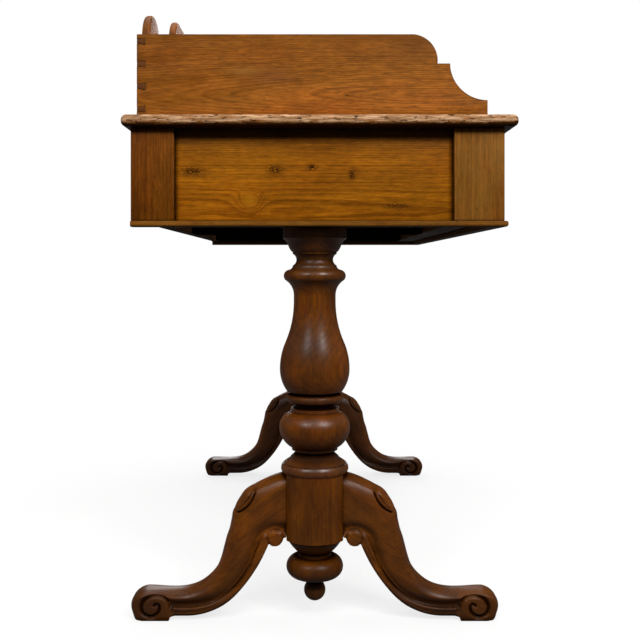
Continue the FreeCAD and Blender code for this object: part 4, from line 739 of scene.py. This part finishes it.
# faces sunk to their carved depth, upper edge rolled over, foot squared, knee and shoulder filled
def shapeLeg(mesh):
    half = legs["half"]
    for vertex in mesh.vertices:
        u = vertex.co.y - legs["columnY"]
        z = vertex.co.z
        w = vertex.co.x - legs["columnX"]
        side = abs(w)
        if u < legs["root"]:
            continue
        if foot["from"] < u < foot["to"] and z < foot["tall"] and side > foot["flat"]:
            out, down = side - foot["flat"], foot["tall"] - z
            corner = (out ** foot["power"] + down ** foot["power"]) ** (1 / foot["power"])
            spread = foot["tall"] / max(0.0001, corner)
            if 1.0 < spread < foot["most"]:
                side = foot["flat"] + out * spread
                z = foot["tall"] - down * spread
        if side > legs["faceFrom"]:
            side = min(half, half - faceDepth(u, z))
        n, gap = legLines["upper"].nearest(u, z)
        way = legLines["upper"].inward(n)
        under = (Vector((u, z)) - legLines["upper"].spots[n]).dot(way)
        turn = roll["turn"] + roll["knee"] * hump(u - roll["kneeAt"], roll["kneeSpread"])
        turn -= roll["toe"] * eased(u, *roll["toeFrom"])
        if under < turn and gap < roll["reach"]:
            high = (turn - under) / turn
            over = high * high + (side / (half + roll["slack"])) ** 2
            if over > 1:
                shrink = 1 / math.sqrt(over)
                side *= shrink
                push = (turn - (turn - under) * shrink) - under
                u += way.x * push
                z += way.y * push
        near = eased(under, legs["fullTo"], 0.0)
        full = legs["kneeFull"] * hump(z - legs["kneeAt"], legs["kneeSpread"]) * near
        u -= way.x * full
        z -= way.y * full
        z += legs["rootFull"] * hump(u - legs["rootAt"], legs["rootSpread"]) * near
        vertex.co = (legs["columnX"] + math.copysign(side, w), u + legs["columnY"], z)
    mesh.update()


def cutKnee(mesh):
    leafTop = Vector(leaf["top"])
    leafWay = Vector(leaf["end"]) - leafTop
    leafLong = leafWay.length
    leafWay.normalize()
    leafIn = Vector((-abs(leafWay.y), -abs(leafWay.x)))      # towards the leg's body
    normals = [vertex.normal.copy() for vertex in mesh.vertices]
    for vertex, normal in zip(mesh.vertices, normals):
        u = vertex.co.y - legs["columnY"]
        z = vertex.co.z
        if not (knee["from"] < u < knee["to"] and z > knee["above"]):
            continue
        spot = Vector((u, z)) - leafTop
        t = spot.dot(leafWay) / leafLong
        cut = 0.0
        if 0 < t < 1:
            inward = spot.dot(leafIn)
            bow = 4 * t * (1 - t)
            outer = leaf["wide"] * bow
            inner = leaf["wide"] * 0.5 * bow - leaf["inset"]
            cut += leaf["outerDeep"] * hump(inward - outer, leaf["outerWide"]) * eased(bow, *leaf["outerTips"])
            cut += leaf["innerDeep"] * hump(inward - inner, leaf["innerWide"]) * eased(bow, *leaf["innerTips"])
            cut -= leaf["proud"] * eased(bow, 0.0, 1.0) * eased(outer - inward, 0.0, leaf["proudOver"])
            if inward < inner:
                scoop = eased(inner - inward, 0.0, leaf["scoopOver"]) * eased(t, *leaf["scoopAlong"])
                cut += leaf["scoop"] * bow * scoop
        if shin["foot"] < z < shin["head"] and u > shin["from"]:
            gap = legLines["upper"].nearest(u, z)[1]
            ends = eased(z, shin["foot"], shin["footFade"]) * eased(z, shin["head"], shin["headFade"])
            cut += shin["deep"] * hump(gap, shin["wide"]) * ends
        vertex.co -= normal * cut
    mesh.update()


model = workingCopy("leg_back_left", "leg_back_left_carved")
applied(model, "REMESH", mode="VOXEL", voxel_size=legs["voxel"], adaptivity=0.0)
applied(model, "SMOOTH", factor=0.5, iterations=legs["smooth"])
shapeLeg(model.data)
applied(model, "SMOOTH", factor=0.5, iterations=2)
cutKnee(model.data)
applied(model, "SMOOTH", factor=0.4, iterations=1)
bpy.ops.object.shade_smooth()
print("leg carved:", len(model.data.vertices), "points")

# one carved leg serves all four: turned to the front, and moved along to the far column
backGrain, frontGrain = Vector((0, 0.82, -0.57)), Vector((0, -0.82, -0.57))
halfTurn = Matrix.Diagonal((-1, -1, 1, 1))
acrossX, acrossY = 2 * legs["columnX"], 2 * legs["columnY"]
rowOfLegs = [
    ("leg_back_left", Matrix.Identity(4), backGrain),
    ("leg_front_left", Matrix.Translation((acrossX, acrossY, 0)) @ halfTurn, frontGrain),
    ("leg_back_right", Matrix.Translation((-acrossX, 0, 0)), backGrain),
    ("leg_front_right", Matrix.Translation((0, acrossY, 0)) @ halfTurn, frontGrain),
]
plainLeg = model.data.copy()
for count, (node, move, grain) in enumerate(rowOfLegs):
    piece = model
    if node != "leg_back_left":
        mesh = plainLeg.copy()
        mesh.transform(move)
        mesh.name = node + "_carved"
        piece = bpy.data.objects.new(node + "_carved", mesh)
        bpy.context.scene.collection.objects.link(piece)
    heart = (0.2 * count, 0.05, -0.03 - 0.01 * count)
    wood = dict(woods["stained"], heart=heart, groove=1.0, crease=0.85, shine=0.46)
    standsFor(piece, node, pineFinish(node + "Pine", wood, grain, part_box(node)))
bpy.data.meshes.remove(plainLeg)
print("legs stand")

# floor and backdrop: pure white to the eye, keeping a faint shadow
studio = {
    "floorSize": 30, "floorDrop": 0.0005, "floorRough": 0.9,
    "floorSeen": (0.93, 0.93, 0.92, 1.0), "floorBounce": (0.07, 0.068, 0.065, 1.0),
    "shadow": 0.26, "shadowFrom": 0.35, "shadowReach": 1.0, "ambient": 0.045,
    "mirrored": 0.05,                 # waxed wood gives back only a dim image of the white room
}


def whiteToTheEye(tree):
    ray = put(tree, "LightPath")
    shine = calc(tree, "MULTIPLY", ray.outputs["Is Glossy Ray"], studio["mirrored"])
    seen = calc(tree, "MAXIMUM", ray.outputs["Is Camera Ray"], shine)
    return calc(tree, "MAXIMUM", seen, ray.outputs["Is Transmission Ray"])


bpy.ops.object.select_all(action="DESELECT")
bpy.ops.mesh.primitive_plane_add(size=studio["floorSize"], location=(0, 0, -studio["floorDrop"]))
floor = bpy.context.object
floor.name = "floor"
floorFinish = bpy.data.materials.new("paleFloor")
floorFinish.use_nodes = True
tree = floorFinish.node_tree
matt = tree.nodes["Principled BSDF"]
seenByEye = put(tree, "LightPath").outputs["Is Camera Ray"]
give(tree, matt.inputs["Base Color"], blendColours(tree, seenByEye, studio["floorBounce"], studio["floorSeen"]))
matt.inputs["Roughness"].default_value = studio["floorRough"]
white = put(tree, "Emission", {"Color": (1, 1, 1, 1), "Strength": 1.0})
spot = put(tree, "TexCoord").outputs["Object"]
distance = put(tree, "VectorMath", {0: spot}, operation="LENGTH").outputs["Value"]
keepShade = fade(tree, distance, studio["shadowFrom"], studio["shadowReach"], studio["shadow"], 0.0)
share = calc(tree, "MULTIPLY", whiteToTheEye(tree), calc(tree, "SUBTRACT", 1.0, keepShade))
both = put(tree, "MixShader", {0: share, 1: matt.outputs[0], 2: white.outputs[0]})
give(tree, tree.nodes["Material Output"].inputs["Surface"], both.outputs[0])
floor.data.materials.append(floorFinish)

world = bpy.data.worlds.new("whiteRoom")
bpy.context.scene.world = world
world.use_nodes = True
tree = world.node_tree
backdrop = tree.nodes["Background"]
backdrop.inputs["Color"].default_value = (1, 1, 1, 1)
give(tree, backdrop.inputs["Strength"], fade(tree, whiteToTheEye(tree), 0.0, 1.0, studio["ambient"], 1.0))


# three broad lamps light the wood without showing in its wax
def softLight(name, at, aim, size, watts, mirrored=True):
    bpy.ops.object.light_add(type="AREA", location=at)
    lamp = bpy.context.object
    lamp.name = name
    lamp.data.size = size
    lamp.data.energy = watts
    lamp.visible_glossy = mirrored
    lamp.rotation_euler = (Vector(aim) - Vector(at)).to_track_quat("-Z", "Y").to_euler()


softLight("keyMiddle", (-2.1, -0.20, 2.35), (-0.45, 0, 0.5), 1.5, 52, mirrored=False)
softLight("keyRight", (-2.05, -1.15, 1.95), (-0.45, 0, 0.45), 0.45, 20)
softLight("keyLeft", (-2.10, 1.10, 1.90), (-0.45, 0, 0.45), 0.45, 11)
softLight("overhead", (0.2, 0, 2.9), (0.1, 0, 0), 2.0, 24)
softLight("front", (0.9, -3.0, 1.9), (0.1, 0, 0.5), 2.6, 48, mirrored=False)
softLight("back", (0.9, 3.0, 1.9), (0.1, 0, 0.5), 2.6, 44, mirrored=False)
softLight("farEnd", (3.0, 0.2, 1.9), (0.3, 0, 0.5), 1.6, 46)
print("studio lit")

# the camera stands level, off the near end
shot = {"at": (-1.7675, 0.0153, 0.5186), "lens": 49.7, "sensor": 36, "shift": (0.0117, -0.0828), "clip": 0.01}
bpy.ops.object.camera_add(location=shot["at"], rotation=(math.radians(90), 0, math.radians(-90)))
camera = bpy.context.object
camera.data.lens = shot["lens"]
camera.data.sensor_width = shot["sensor"]
camera.data.shift_x = shot["shift"][0]
camera.data.shift_y = shot["shift"][1]
camera.data.clip_start = shot["clip"]
bpy.context.scene.camera = camera
bpy.context.scene.view_settings.view_transform = "Standard"
